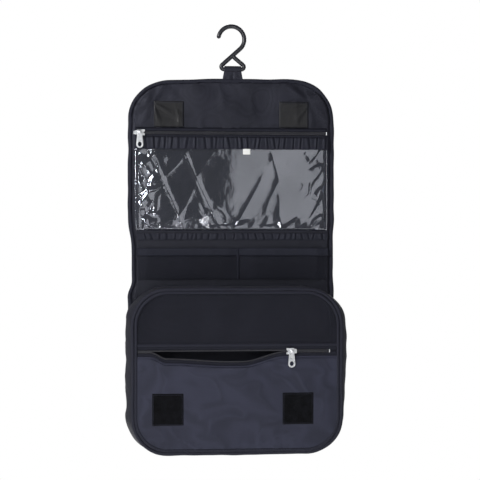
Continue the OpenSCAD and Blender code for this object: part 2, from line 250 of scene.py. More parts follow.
def woven(name, colour, rough, pitch, relief, contrast=0.22, mottle=0.10, shade_below=None):
    """Plain woven cloth: threads along all three axes, so that every wall of the bag shows two.

    Below a given height, if one is given, the cloth is painted darker: painted shade where the mesh pockets
    and the clear pocket stand out over the lining."""
    material, tree, shader = principled(
        name, colour, rough, Sheen_Weight=0.03, Sheen_Roughness=0.45, Specular_IOR_Level=0.3,
        Specular_Tint=DULL_BLUE)
    threads = combine(tree, "ADD", bands(tree, "X", pitch, 0.6), bands(tree, "Z", pitch * 1.15, 0.6))
    threads = combine(tree, "ADD", threads, bands(tree, "Y", pitch, 0.6))
    threads = combine(tree, "MULTIPLY", threads, 0.333)
    patches = noise(tree, 26, 3)
    height = combine(tree, "ADD", threads, combine(tree, "MULTIPLY", noise(tree, 420, 2), 0.35))
    shade = combine(tree, "ADD", combine(tree, "MULTIPLY", threads, contrast * 2),
                    combine(tree, "MULTIPLY", patches, mottle * 6))
    shade = combine(tree, "SUBTRACT", shade, contrast + mottle * 3 - 0.5)
    dark = 0.68
    # painted shade: below the given height the colour factor drops to zero, and the ramp's dark end is
    # lowered for the whole cloth
    if shade_below is not None:
        dark = 0.45
        z = node(tree, "SeparateXYZ", Vector=coordinates(tree)).outputs["Z"]
        shade = combine(tree, "MULTIPLY", shade, combine(tree, "GREATER_THAN", z, shade_below))
    tint(tree, shader, shade, colour, dark, 1.32)
    vary_rough(tree, shader, patches, rough - 0.07, rough + 0.07)
    bump(tree, shader, height, relief)
    return material


def corded(name, colour, axis, pitch, relief):
    """Ribbed tape, with ridges across one axis."""
    material, tree, shader = principled(
        name, colour, 0.62, Sheen_Weight=0.03, Sheen_Roughness=0.4, Specular_IOR_Level=0.25,
        Specular_Tint=DULL_BLUE)
    ribs = bands(tree, axis, pitch, 0.8)
    tint(tree, shader, ribs, colour, 0.7, 1.25)
    height = combine(tree, "ADD", ribs, combine(tree, "MULTIPLY", noise(tree, 500, 2), 0.5))
    bump(tree, shader, height, relief)
    return material


def fuzzy(name, colour):
    """Brushed pile, matt and uneven."""
    material, tree, shader = principled(
        name, colour, 0.95, Sheen_Weight=0.02, Sheen_Roughness=0.7, Specular_IOR_Level=0.1)
    tint(tree, shader, noise(tree, 130, 3), colour, 0.6, 1.5)
    bump(tree, shader, noise(tree, 900, 4, 0.7), 0.35 * MM)
    return material


def moulded(name, colour, rough):
    """Moulded plastic with a faint skin texture and slight handling wear."""
    material, tree, shader = principled(name, colour, rough, Specular_IOR_Level=0.5, Coat_Weight=0.1)
    worn = noise(tree, 45, 4)
    tint(tree, shader, worn, colour, 0.85, 1.2)
    vary_rough(tree, shader, worn, rough - 0.08, rough + 0.12)
    bump(tree, shader, noise(tree, 300, 3), 0.03 * MM)
    return material


def plated(name, colour, rough):
    """Nickel-plated zinc with fine scuffs."""
    material, tree, shader = principled(name, colour, rough, Metallic=1.0)
    scuffs = noise(tree, 350, 3, 0.6)
    vary_rough(tree, shader, scuffs, rough - 0.04, rough + 0.08)
    tint(tree, shader, noise(tree, 160, 2), colour, 0.94, 1.04)
    bump(tree, shader, scuffs, 0.003 * MM)
    return material


def clear_film(name):
    """Thin clear plastic: mostly see-through, with a glossy, slightly hazy skin."""
    material, tree, skin = principled(name, (0.88, 0.9, 0.97), 0.09, Metallic=1.0)
    bump(tree, skin, noise(tree, 90, 3), 0.25 * MM)
    facing = node(tree, "LayerWeight", Blend=0.33).outputs["Fresnel"]
    share = combine(tree, "ADD", combine(tree, "MULTIPLY", noise(tree, 18, 3), 0.07), facing)
    mix = node(tree, "MixShader", Fac=share)
    through = node(tree, "BsdfTransparent", Color=(0.93, 0.94, 0.96, 1))
    tree.links.new(through.outputs[0], mix.inputs[1])
    tree.links.new(skin.outputs[0], mix.inputs[2])
    feed(tree, tree.nodes["Material Output"], Surface=mix.outputs[0])
    return material


# each look's CAD material slot, and how it is made
LOOKS = {
    "outer_nylon": ("outer_nylon", woven, (0.0125, 0.0125, 0.0185), 0.5, 0.75 * MM, 0.16 * MM),
    "front_nylon": ("front_nylon", woven, (0.0190, 0.0200, 0.0335), 0.48, 0.9 * MM, 0.22 * MM, 0.34),
    # the lining is painted darker below the upper fold: painted shade where the pockets stand out over it
    "lining_nylon": ("lining_nylon", woven, (0.0105, 0.0105, 0.0158), 0.42, 0.6 * MM, 0.12 * MM, 0.22, 0.10,
                     UPPER_FOLD_Z),
    "gathered_nylon": ("lining_nylon", woven, (0.006, 0.0062, 0.0105), 0.46, 0.6 * MM, 0.12 * MM),
    "binding": ("binding_tape", corded, (0.0140, 0.0143, 0.0215), "Z", 0.8 * MM, 0.12 * MM),
    "hem_tape": ("binding_tape", corded, (0.013, 0.0137, 0.0205), "X", 1.3 * MM, 0.25 * MM),
    "zip_tape": ("zip_tape", corded, (0.0075, 0.0078, 0.0125), "X", 0.7 * MM, 0.12 * MM),
    "mesh": ("mesh_fabric", woven, (0.0080, 0.0082, 0.0130), 0.6, 0.4 * MM, 0.05 * MM),
    "hooks": ("hook_fastener", moulded, (0.0045, 0.0045, 0.0065), 0.6),
    "loops": ("loop_fastener", fuzzy, (0.004, 0.0042, 0.0058)),
    "thread": ("binding_tape", corded, (0.020, 0.021, 0.034), "X", 0.35 * MM, 0.05 * MM),
    "coil": ("zip_coil", moulded, (0.022, 0.022, 0.030), 0.35),
    "hook_plastic": ("hook_plastic", moulded, (0.008, 0.008, 0.0135), 0.3),
    "metal": ("slider_metal", plated, (0.74, 0.75, 0.77), 0.27),
    "film": ("clear_film", clear_film),
    "foam": ("padding_foam", plain, (0.35, 0.35, 0.36), 0.9),
    "tag": ("tag_cloth", woven, (0.80, 0.80, 0.78), 0.8, 0.5 * MM, 0.1 * MM, 0.05, 0.03),
}
MATERIAL = {look: row[1](look, *row[2:]) for look, row in LOOKS.items()}


# ---- Mesh helpers ----

def add_piece(name, verts, faces, material, smooth=True):
    mesh = bpy.data.meshes.new(name)
    mesh.from_pydata(np.asarray(verts, float).tolist(), [], faces)
    mesh.polygons.foreach_set("use_smooth", [smooth] * len(mesh.polygons))
    mesh.materials.append(MATERIAL[material])
    piece = bpy.data.objects.new(name, mesh)
    bpy.context.collection.objects.link(piece)
    return piece


def settle(piece, body, *nodes, **sheet):
    """The piece rides on a body, in place of its CAD nodes; its cloth settings, such as its flat size, are
    not used.
    """
    if nodes:
        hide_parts(*nodes)
    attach(piece, body)


def bridge(piece, bodies, y, fold, reach, *nodes):
    """The piece stays where it is built, in place of its CAD nodes, with its place baked into its points.
    """
    if nodes:
        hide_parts(*nodes)
    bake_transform(piece)


def surface(x, y, z):
    """A grid of points from coordinates that may be shorter than the grid."""
    return np.stack(np.broadcast_arrays(x, y, z), axis=2)


def quads(rows, cols, wrap=False, start=0):
    """The faces of a grid of points; a wrapped grid's last column meets its first."""
    faces = []
    for i in range(rows - 1):
        for j in range(cols if wrap else cols - 1):
            a, b = start + i * cols + j, start + i * cols + (j + 1) % cols
            faces.append((a, b, b + cols, a + cols))
    return faces


def normals(points, wrap=False):
    """Unit normals of a grid of points, to the side from which its columns run right and its rows up."""
    if wrap:
        across = np.roll(points, -1, axis=1) - np.roll(points, 1, axis=1)
    else:
        across = np.gradient(points, axis=1)
    n = np.cross(across, np.gradient(points, axis=0))
    return n / np.maximum(np.linalg.norm(n, axis=2, keepdims=True), 1e-12)


def cloth(name, points, thick, material, wrap=False):
    """A closed sheet of the given thickness around a grid of points."""
    rows, cols = points.shape[:2]
    n = normals(points, wrap) * thick / 2
    verts = np.concatenate([(points + n).reshape(-1, 3), (points - n).reshape(-1, 3)])
    count = rows * cols
    faces = quads(rows, cols, wrap) + [face[::-1] for face in quads(rows, cols, wrap, count)]
    for i in (0, rows - 1):
        for j in range(cols if wrap else cols - 1):
            a, b = i * cols + j, i * cols + (j + 1) % cols
            edge = (b, a, a + count, b + count)
            faces.append(edge if i == 0 else edge[::-1])
    for j in () if wrap else (0, cols - 1):
        for i in range(rows - 1):
            a, b = i * cols + j, (i + 1) * cols + j
            edge = (a, b, b + count, a + count)
            faces.append(edge if j == 0 else edge[::-1])
    return add_piece(name, verts, faces, material)


def smoothstep(value, low, high):
    t = np.clip((value - low) / (high - low), 0, 1)
    return t * t * (3 - 2 * t)


def ripple(x, z, seed, wave, count=7):
    """Smooth, even waves over a surface, about -1 to 1, the same every time for one seed."""
    rng = np.random.default_rng(seed)
    total = np.zeros(np.broadcast(x, z).shape)
    for _ in range(count):
        turn = rng.uniform(0, 2 * math.pi)
        k = 2 * math.pi / (wave * rng.uniform(0.65, 1.5))
        total = total + np.sin(k * (x * math.cos(turn) + z * math.sin(turn)) + rng.uniform(0, 7))
    return total / math.sqrt(count)


def creases(x, z, seed, wave):
    """Sharp soft-sided folds in cloth, 0 to 1, which wander a little."""
    x, z = (x + wave * 0.14 * ripple(x, z, seed + 500, wave * 0.7, 4),
            z + wave * 0.14 * ripple(x, z, seed + 600, wave, 4))
    return (1 - np.abs(np.clip(ripple(x, z, seed, wave, 5), -1, 1))) ** 3


def sway(points):
    """The hang of the three panels: the left edge draws in at the middle panel, and droops at the top."""
    points = points.copy()
    x, z = points[..., 0], points[..., 2]
    draw = smoothstep(-z, 0.205, 0.243) * (1 - smoothstep(-z, 0.281, 0.300))
    left = np.clip(-x / HALF_W, 0, 1) ** 2
    right = np.clip(x / HALF_W, 0, 1) ** 2
    points[..., 0] = x + draw * (4.5 * MM * left - 1.0 * MM * right)
    droop = smoothstep(-x, 10 * MM, 80 * MM) * smoothstep(z, -100 * MM, -55 * MM)
    points[..., 2] = z - 2.2 * MM * droop
    return points


def arch_half(z, half, z_high, r):
    """Half the width at height z of an outline with two round upper corners."""
    rise = np.clip(z - (z_high - r), 0, r)
    return half - r + np.sqrt(np.maximum(r * r - rise * rise, 0))


def levels(z_low, z_high, count, tight_low=0.0, tight_high=0.0):
    """Heights from low to high, closer together over a round corner at either end."""
    ease = 1 - np.cos(np.linspace(0, math.pi / 2, 15))[:-1]
    straight = np.linspace(z_low + tight_low, z_high - tight_high, count)
    low = z_low + tight_low * ease if tight_low else []
    high = (z_high - tight_high * ease)[::-1] if tight_high else []
    return np.concatenate([low, straight, high])


def fix_normals(piece):
    bm = bmesh.new()
    bm.from_mesh(piece.data)
    bmesh.ops.recalc_face_normals(bm, faces=bm.faces)
    bm.to_mesh(piece.data)
    bm.free()


def tube_faces(rings, sides, closed_path):
    faces = []
    for i in range(rings if closed_path else rings - 1):
        k = (i + 1) % rings
        for j in range(sides):
            m = (j + 1) % sides
            faces.append((i * sides + j, i * sides + m, k * sides + m, k * sides + j))
    if not closed_path:
        faces += [tuple(reversed(range(sides))), tuple(range((rings - 1) * sides, rings * sides))]
    return faces


def swept_piece(name, path, profile, material, closed_path=False, shape=None):
    """A closed profile [(out, y), ...] carried along a path in the XZ plane.

    out is to the left of the path's direction as seen from the front."""
    path = np.asarray(path, float)
    if closed_path:
        run = np.roll(path, -1, axis=0) - np.roll(path, 1, axis=0)
    else:
        run = np.gradient(path, axis=0)
    out = np.cross((0, 1, 0), run / np.linalg.norm(run, axis=1, keepdims=True))
    profile = np.asarray(profile, float)
    if profile.ndim == 2:
        profile = np.broadcast_to(profile, (len(path), *profile.shape))
    points = path[:, None] + out[:, None] * profile[..., :1] + np.array((0, 1, 0)) * profile[..., 1:]
    if shape:
        points = shape(points)
    rings, sides = points.shape[:2]
    piece = add_piece(name, points.reshape(-1, 3), tube_faces(rings, sides, closed_path), material)
    fix_normals(piece)
    return piece


def circle(r, sides, x=0.0, z=0.0, tall=None):
    """Points round a circle, or an ellipse that is tall in its second direction."""
    turns = np.linspace(0, 2 * math.pi, sides, endpoint=False)
    return np.stack([x + r * np.cos(turns), z + (tall or r) * np.sin(turns)], axis=1)


def arc(centre, r, start, end, count):
    """Points round a circle in the XZ plane; angles in degrees from +X towards +Z."""
    turns = np.radians(np.linspace(start, end, count))
    return [(centre[0] + r * math.cos(t), centre[1], centre[2] + r * math.sin(t)) for t in turns]


def resample(path, step, closed=False):
    """Evenly spaced points along a path, and the directions there."""
    path = np.asarray(path, float)
    if closed:
        path = np.concatenate([path, path[:1]])
    runs = np.linalg.norm(np.diff(path, axis=0), axis=1)
    path = path[np.append(True, runs > 0.05 * MM)]
    at = np.append(0, np.cumsum(np.linalg.norm(np.diff(path, axis=0), axis=1)))
    want = np.linspace(0, at[-1], max(2, int(round(at[-1] / step)) + 1))
    if closed:
        want = want[:-1]

    def places(distances):
        return np.stack([np.interp(distances, at, path[:, k]) for k in range(3)], axis=1)
    along = places(np.minimum(want + step / 4, at[-1])) - places(np.maximum(want - step / 4, 0))
    return places(want), along / np.linalg.norm(along, axis=1, keepdims=True)


def beads(name, places, alongs, size, material, sides=6, rings=4):
    """Many small rounded grains: stitches, teeth or nubs. size is half the length, width and height."""
    unit = [(-1, 0, 0)]
    for b in np.linspace(-math.pi / 2, math.pi / 2, rings + 2)[1:-1]:
        for t in np.linspace(0, 2 * math.pi, sides, endpoint=False):
            unit.append((math.sin(b), math.cos(b) * math.cos(t), math.cos(b) * math.sin(t)))
    unit.append((1, 0, 0))
    unit = np.array(unit) * np.array(size)
    faces_one = []
    last = 1 + (rings - 1) * sides
    for j in range(sides):
        m = (j + 1) % sides
        faces_one += [(0, 1 + m, 1 + j), (last + sides, last + j, last + m)]
        for a in range(1, last, sides):
            faces_one.append((a + j, a + m, a + sides + m, a + sides + j))
    verts, faces = [], []
    for n, (place, along) in enumerate(zip(places, alongs)):
        side = np.cross((0, -1, 0), along)
        side /= np.linalg.norm(side)
        up = np.cross(along, side)
        verts.append(place + unit[:, 0:1] * along + unit[:, 1:2] * side + unit[:, 2:3] * up)
        faces += [tuple(n * len(unit) + i for i in face) for face in faces_one]
    piece = add_piece(name, np.concatenate(verts), faces, material)
    fix_normals(piece)
    return piece


def stitches(name, path, length=2.4 * MM, pitch=3.1 * MM, closed=False, shape=None):
    """A row of thread stitches along a path."""
    points, along = resample(path, pitch, closed)
    if shape is not None:
        points = shape(points)
    return beads(name, points, along, (length / 2, 0.28 * MM, 0.2 * MM), "thread")


def flat_plate(loops, thick, bevel, place, flip=1):
    """A flat metal piece from closed outlines in X and Z, the first outside and the rest holes."""
    curve = bpy.data.curves.new("outline", "CURVE")
    curve.dimensions, curve.fill_mode = "2D", "BOTH"
    curve.extrude = thick / 2 - bevel
    curve.bevel_depth, curve.offset, curve.bevel_resolution = bevel, -bevel, 2
    for loop in loops:
        spline = curve.splines.new("POLY")
        spline.points.add(len(loop) - 1)
        for point, (x, z) in zip(spline.points, loop):
            point.co = (x, z, 0, 1)
        spline.use_cyclic_u = True
    holder = bpy.data.objects.new("outline", curve)
    bpy.context.collection.objects.link(holder)
    mesh = bpy.data.meshes.new_from_object(holder.evaluated_get(bpy.context.evaluated_depsgraph_get()))
    bpy.data.objects.remove(holder)
    x, z, y = np.array([v.co for v in mesh.vertices]).T
    verts = np.stack([x * flip, -y, z], axis=1) + place
    piece = add_piece("plate", verts, [tuple(p.vertices) for p in mesh.polygons], "metal", smooth=False)
    fix_normals(piece)
    return piece


def join(name, first, *others):
    """One piece made of several meshes, which keeps the first one's slot."""
    verts, faces, materials, picks = [], [], [], []
    for part in (first, *others):
        start = len(verts)
        verts += [tuple(v.co) for v in part.data.vertices]
        materials += [m for m in part.data.materials if m not in materials]
        for p in part.data.polygons:
            faces.append(tuple(start + i for i in p.vertices))
            picks.append((materials.index(part.data.materials[p.material_index]), p.use_smooth))
    mesh = bpy.data.meshes.new(name)
    mesh.from_pydata(verts, [], faces)
    for material in materials:
        mesh.materials.append(material)
    for p, (slot, smooth) in zip(mesh.polygons, picks):
        p.material_index, p.use_smooth = slot, smooth
    first.data = mesh
    for part in others:
        bpy.data.objects.remove(part)
    first.name = name
    return first


# ---- The hook and its loop ----

HOOK_ROD = 5.0 * MM
HOOK_BEND_R = 3.0 * MM
HOOK_BAR_X = (-8.7 * MM, 11.5 * MM)
HOOK_LEAVE = 48
HOOK_LEFT_TURN = 132
HOOK_LEG_RISE = 40
HOOK_LEG = 15.5 * MM
HOOK_STEP = 0.9 * MM


def hook_path():
    """The rod's middle line: the round curve, the long rod, the base bar's two bends and the short leg."""
    curve_r = box("hanging_hook")[1][2] - HOOK_ROD / 2
    low_z = BAR_Z + HOOK_BEND_R
    right_bend = arc((HOOK_BAR_X[1], 0, low_z), HOOK_BEND_R, 270, 450 - HOOK_LEG_RISE, 16)
    rise = math.radians(HOOK_LEG_RISE)
    leg_end = np.array(right_bend[-1]) + HOOK_LEG * np.array([-math.cos(rise), 0, math.sin(rise)])
    return [*arc((0, 0, 0), curve_r, 178, -HOOK_LEAVE, 60),
            *arc((HOOK_BAR_X[0], 0, low_z), HOOK_BEND_R, HOOK_LEFT_TURN, 270, 16), *right_bend, leg_end]


def make_hook():
    points, _ = resample(hook_path(), HOOK_STEP)
    tip = np.clip(np.arange(len(points)) * HOOK_STEP / (HOOK_ROD / 2), 0, 1)
    radii = HOOK_ROD / 2 * np.sqrt(np.maximum(1 - (1 - tip) ** 2, 0.02))
    # a moulded rod, with a faint parting line
    section = circle(1, 20)
    section *= 1 + 0.03 * np.exp(-((np.abs(section[:, 1:]) / 0.12) ** 2))
    hook = swept_piece("hook_rod", points, section[None] * radii[:, None, None], "hook_plastic")
    ease = hook.modifiers.new("smooth", "SUBSURF")
    ease.levels = ease.render_levels = 1
    settle(hook, "hook", "hanging_hook")


def make_hanger_tab():
    """A strip of cloth folded over the bar and sewn into the top edge, flaring a little, with a crease."""
    outer = HOOK_ROD / 2 + 0.95 * MM
    low = TOP_Z - 2 * MM
    turns = np.radians(np.linspace(-62, 242, 31))
    over = [(-math.cos(t) * outer, BAR_Z + math.sin(t) * outer) for t in turns]
    neck_y, neck_z = over[0]
    front = [(np.interp(d, [0, 0.5, 1], [neck_y, -1.3 * MM, -1.3 * MM]), neck_z + (low - neck_z) * d)
             for d in np.linspace(0, 1, 12)[1:]]
    section = np.array(front[::-1] + over + [(-y, z) for y, z in front])
    y, z = section[:, :1], section[:, 1:]
    spread = np.linspace(-1, 1, 33)[None]
    drop = np.clip((BAR_Z - z) / (BAR_Z - low), 0, 1)
    crease = 0.9 * MM * np.exp(-((spread - 0.04) / 0.09) ** 2) * drop
    pucker = 0.25 * MM * ripple(spread * 10, z / MM * 0.5, 5, 6) * drop
    points = surface((HOOK_BAR_X[0] + HOOK_BAR_X[1]) / 2 + spread * (9.6 + 2.4 * drop) * MM,
                     y + np.sign(-y) * (crease + pucker) * np.where(y < 0, 1, 0.6), z)
    tab = cloth("hanger_tab", points[:, ::-1], 0.8 * MM, "outer_nylon")
    settle(tab, "top_panel", "hanger_loop", flat=(22 * MM, 42 * MM), held="folded", rests_on=["hook_rod"])


# ---- Panels: outer cloth, lining, padding, edge roll ----

def upper_panel(z_low, inset, count=44):
    """Heights from z_low to the top edge, and half the panel's width at each."""
    rows = levels(z_low, TOP_Z - inset, count, tight_high=TOP_R - inset)
    return rows, arch_half(rows, HALF_W - inset, TOP_Z - inset, TOP_R - inset)


def lower_panel(z_high, inset, count=44, half_w=HALF_W):
    """Heights from the bottom edge to z_high, and half the panel's width at each."""
    rows = levels(BAG_BOTTOM_Z + inset, z_high, count, tight_low=BAG_R - inset)
    return rows, arch_half(-rows, half_w - inset, -BAG_BOTTOM_Z - inset, BAG_R - inset)


def panel_grid(rows, halves, y, cols=61):
    return surface(halves[:, None] * np.linspace(-1, 1, cols), y, rows[:, None])


# each half of the hanging panels: its outline, its two bodies and the fold between them
HALVES = (("upper", upper_panel, ("top_panel", "mid_panel"), UPPER_FOLD_Z),
          ("lower", lower_panel, ("mid_panel", "lower_bag"), LOWER_FOLD_Z))
OUTER_NODES = {"upper": ("top_outer_shell", "upper_fold_strip", "mid_outer_shell"),
               "lower": ("bag_outer_back", "lower_fold_strip")}
LINING_NODES = {"upper": ("top_lining", "mid_lining"), "lower": ("bag_back_lining",)}
ROLL_NODES = {"upper": ("top_binding", "mid_binding_left", "mid_binding_right"),
              "lower": ("bag_back_binding",)}


def back_relief(x, z):
    """How the padded cloth swells behind each panel, and dips at the folds and seams."""
    swell = 1.1 * MM * (1 - np.clip(np.abs(x) / HALF_W, 0, 1) ** 4)
    for fold in (UPPER_FOLD_Z, LOWER_FOLD_Z):
        swell = swell * (1 - 0.9 * np.exp(-((z - fold) / (5 * MM)) ** 2))
    folds = 0.35 * MM * ripple(x, z, 11, 55 * MM) + 0.45 * MM * creases(x, z * 0.6, 12, 90 * MM)
    return swell + folds * smoothstep(-z, 0.050, 0.075)


def outer_cloth():
    for half, panel, bodies, fold in HALVES:
        rows, halves = panel(MID_Z, CLOTH_INSET)
        points = panel_grid(rows, halves, BACK_Y - 0.5 * MM)
        points[..., 1] += back_relief(points[..., 0], points[..., 2])
        sheet = cloth(f"outer_cloth_{half}", sway(points)[:, ::-1], 0.7 * MM, "outer_nylon")
        bridge(sheet, bodies, BACK_Y, fold, FOLD_REACH, *OUTER_NODES[half])


def corner_wrinkles(x, z, seed):
    """Folds that run in from the panel's round upper corners, dying away towards its middle."""
    side_x, side_z = HALF_W - TOP_R * 0.6 - np.abs(x), TOP_Z - TOP_R * 0.6 - z
    fans = np.abs(np.sin(np.arctan2(side_z, side_x) * 4 + seed + np.sign(x) * 0.8)) ** 5
    return fans * np.exp(-((np.hypot(side_x, side_z) - 12 * MM) / (24 * MM)) ** 2)


def front_relief(x, z):
    """Soft waves and small puckers in the lining; it lies flat beside the zip."""
    up = z - WINDOW_ZIP_Z
    calm = 1 - 0.85 * np.exp(-(up / (8 * MM)) ** 2)
    folds = 0.55 * MM * ripple(x, z, 21, 60 * MM, 5) + 0.7 * MM * creases(x * 0.8, z * 0.7, 22, 70 * MM)
    seam = np.exp(-((up - 8 * MM) / (3 * MM)) ** 2) * 0.22 * MM * ripple(x, 0 * z, 23, 9 * MM)
    flap = 1 + 1.1 * smoothstep(up, 6 * MM, 20 * MM)
    edge = smoothstep(TOP_Z - z, 5 * MM, 14 * MM)
    relief = calm * (folds * flap * (0.4 + 0.6 * edge) + 1.5 * MM * corner_wrinkles(x, z, 0.4)) * 0.8 + seam
    return np.maximum(relief, -0.6 * MM + 0.2 * relief)


def lining():
    for (half, panel, bodies, fold), count in zip(HALVES, (60, 50)):
        rows, halves = panel(MID_Z, CLOTH_INSET, count)
        points = panel_grid(rows, halves, FACE_Y + 0.55 * MM, 81)
        x, z = points[..., 0], points[..., 2]
        points[..., 1] -= front_relief(x, z) * (1 - 0.65 * smoothstep(-z, 0.215, 0.235))
        sheet = cloth(f"lining_{half}", sway(points), 0.5 * MM, "lining_nylon")
        bridge(sheet, bodies, FACE_Y, fold, 2 * MM, *LINING_NODES[half])


def padding():
    inset, gap = 9.5 * MM, 2.5 * MM
    middle = np.linspace(LOWER_FOLD_Z + gap, UPPER_FOLD_Z - gap, 12)
    for name, node, body, (rows, halves) in (
        ("foam_top", "top_padding", "top_panel", upper_panel(UPPER_FOLD_Z + gap, inset)),
        ("foam_mid", "mid_padding", "mid_panel", (middle, np.full(len(middle), HALF_W - inset))),
        ("foam_bag", "bag_back_padding", "lower_bag", lower_panel(LOWER_FOLD_Z - gap, inset)),
    ):
        points = panel_grid(rows, halves, (BACK_Y + FACE_Y) / 2 + 0.2 * MM, 31)
        foam = cloth(name, sway(points), 2.2 * MM, "foam")
        settle(foam, body, node)


def roll_profile(wave, pucker):
    """The rolled edge: a fat outer roll, a stitched groove and a flat inner lip that puckers."""
    turns = np.linspace(0, math.pi * 0.86, 10)
    outs = np.append(-2.7 * (1 - np.cos(turns)), [-5.7, -6.6, -7.6])
    halves = np.append(2.55 * np.sin(turns), [1.35, 1.8, 1.2])
    front = np.stack([outs, -halves], 1)
    back = np.stack([outs, halves], 1)[:0:-1]
    loop = np.repeat((np.concatenate([front, back]) * MM)[None], len(wave), axis=0)
    lip = smoothstep(-loop[..., 0], 3.2 * MM, 6 * MM)
    loop[..., 1] *= 1 + 0.09 * wave[:, None] + lip * 0.3 * pucker[:, None]
    loop[..., 0] += 0.4 * MM * wave[:, None] - lip * 0.55 * MM * pucker[:, None]
    return loop


def edge_path(half, offset=0.0):
    """A half's edge: up from the middle panel, over the top and down, or the same turned upside down."""
    turn, corner, far = (1, TOP_R, TOP_Z) if half == "upper" else (-1, BAG_R, -BAG_BOTTOM_Z)
    side, r, x, z = HALF_W - offset, corner - offset, HALF_W - corner, far - corner
    path = np.array([(side, 0, turn * MID_Z), *arc((x, 0, z), r, 0, 90, 24),
                     *arc((-x, 0, z), r, 90, 180, 24), (-side, 0, turn * MID_Z)])
    return resample(path * (turn, 1, turn), 2.2 * MM)[0]


def edge_rolls():
    for half, _, bodies, fold in HALVES:
        path = edge_path(half)
        ends = np.clip(np.minimum(np.arange(len(path)), np.arange(len(path))[::-1]) / 8, 0, 1)
        wave = ripple(path[:, 0], path[:, 2], 31, 30 * MM) * 0.8 * ends
        pucker = ripple(path[:, 0], path[:, 2], 32, 9 * MM) * ends
        roll = swept_piece(f"edge_roll_{half}", path, roll_profile(wave, pucker), "binding", shape=sway)
        bridge(roll, bodies, FACE_Y, fold, FOLD_REACH, *ROLL_NODES[half])
        for side, y in (("front", FACE_Y + 0.85 * MM), ("back", BACK_Y - 0.85 * MM)):
            seam = edge_path(half, 6.6 * MM)
            seam[:, 1] = y
            thread = stitches(f"edge_roll_{half}_stitches_{side}", seam, shape=sway)
            bridge(thread, bodies, FACE_Y, fold, FOLD_REACH)


# ---- Touch fasteners ----

def pad(name, low, high, y_at, thick, material):
    """A rounded pad on a surface y_at(x, z)."""
    x, z = np.meshgrid(np.linspace(low[0], high[0], 25), np.linspace(low[2], high[2], 25))
    rim = np.minimum(np.minimum(x - low[0], high[0] - x), np.minimum(z - low[2], high[2] - z))
    y = y_at(x, z) - thick / 2 + 0.3 * MM * (1 - smoothstep(rim, 0, 1.2 * MM))
    return cloth(name, surface(x, y, z), thick, material)


def patch_stitches(name, low, high, y_at, body):
    inset = 1.3 * MM
    x0, x1, z0, z1 = low[0] + inset, high[0] - inset, low[2] + inset, high[2] - inset

    def drape(points):
        return np.stack([points[:, 0], y_at(points[:, 0], points[:, 2]), points[:, 2]], axis=1)
    corners = [(x0, 0, z0), (x1, 0, z0), (x1, 0, z1), (x0, 0, z1), (x0, 0, z0)]
    settle(stitches(name, corners, 2.0 * MM, 2.6 * MM, shape=drape), body)


def lining_y(x, z):
    return FACE_Y - front_relief(x, z) + 0.1 * MM


def hook_patches():
    for side in ("left", "right"):
        low, high = box(f"hook_tape_{side}")
        base = pad(f"hook_patch_{side}", low, high, lining_y, 0.9 * MM, "hooks")
        places, ways = [], []
        rng = np.random.default_rng(41)
        for z in np.arange(low[2] + 1.4 * MM, high[2] - 1.2 * MM, 1.15 * MM):
            for x in np.arange(low[0] + 1.3 * MM, high[0] - 1.2 * MM, 1.1 * MM):
                px = x + rng.uniform(-0.2, 0.2) * MM
                pz = z + rng.uniform(-0.16, 0.16) * MM
                places.append((px, lining_y(px, pz) - 1.1 * MM, pz))
                way = np.array([1, rng.uniform(-0.3, 0.3), rng.uniform(-0.45, 0.45)])
                ways.append(way / np.linalg.norm(way))
        nubs = beads("nubs", np.array(places), np.array(ways), (0.6 * MM, 0.24 * MM, 0.42 * MM), "hooks",
                     sides=5, rings=3)
        settle(join(f"hook_patch_{side}", base, nubs), "top_panel", f"hook_tape_{side}")
        patch_stitches(f"hook_patch_{side}_stitches", low, high,
                       lambda x, z: lining_y(x, z) - 1.0 * MM, "top_panel")


def loop_patches():
    for side in ("left", "right"):
        low, high = box(f"loop_tape_{side}")
        base = pad(f"loop_patch_{side}", low, high, bag_face, 0.9 * MM, "loops")
        rng = np.random.default_rng(43)
        verts, faces = [], []
        for _ in range(2600):
            x = rng.uniform(low[0] + 0.5 * MM, high[0] - 0.5 * MM)
            z = rng.uniform(low[2] + 0.5 * MM, high[2] - 0.5 * MM)
            turn = rng.uniform(0, 2 * math.pi)
            reach, rise = rng.uniform(0.5, 1.0) * MM, rng.uniform(0.3, 0.75) * MM
            along = np.array([math.cos(turn), 0, math.sin(turn)])
            half_wide = np.array([-math.sin(turn), 0, math.cos(turn)]) * 0.07 * MM
            foot = np.array([x, bag_face(x, z) - 0.85 * MM, z])
            for k, t in enumerate((0, 0.25, 0.5, 0.75, 1)):
                p = foot + along * (t - 0.5) * reach + np.array([0, -math.sin(t * math.pi) * rise, 0])
                verts += [p - half_wide, p + half_wide]
                a = len(verts) - 4
                if k:
                    faces.append((a, a + 1, a + 3, a + 2))
        pile = add_piece("pile", verts, faces, "loops")
        pile.modifiers.new("thick", "SOLIDIFY").thickness = 0.06 * MM
        bpy.context.view_layer.update()
        pile.data = bpy.data.meshes.new_from_object(
            pile.evaluated_get(bpy.context.evaluated_depsgraph_get()))
        pile.modifiers.clear()
        settle(join(f"loop_patch_{side}", base, pile), "lower_bag", f"loop_tape_{side}")
        patch_stitches(f"loop_patch_{side}_stitches", low, high,
                       lambda x, z: bag_face(x, z) - 1.1 * MM, "lower_bag")


# ---- Zips ----

def zip_teeth(name, path, towards, node, body):
    """One side of a zip's coil: a rounded tooth at every pitch, pointing at the other side."""
    points, along = (rows[:-1] for rows in resample(path, TOOTH_PITCH))
    points = points + along * TOOTH_PITCH * (0.75 if towards > 0 else 0.25)
    across = np.cross(along, (0, 1, 0)) * towards
    slant = across + along * 0.25
    slant /= np.linalg.norm(slant, axis=1, keepdims=True)
    teeth = beads("teeth", points, slant, (1.0 * MM, 0.42 * MM, 0.72 * MM), "coil", rings=3)
    band = swept_piece("band", points - across * 0.75 * MM, circle(0.42 * MM, 6), "coil")
    settle(join(name, teeth, band), body, node)


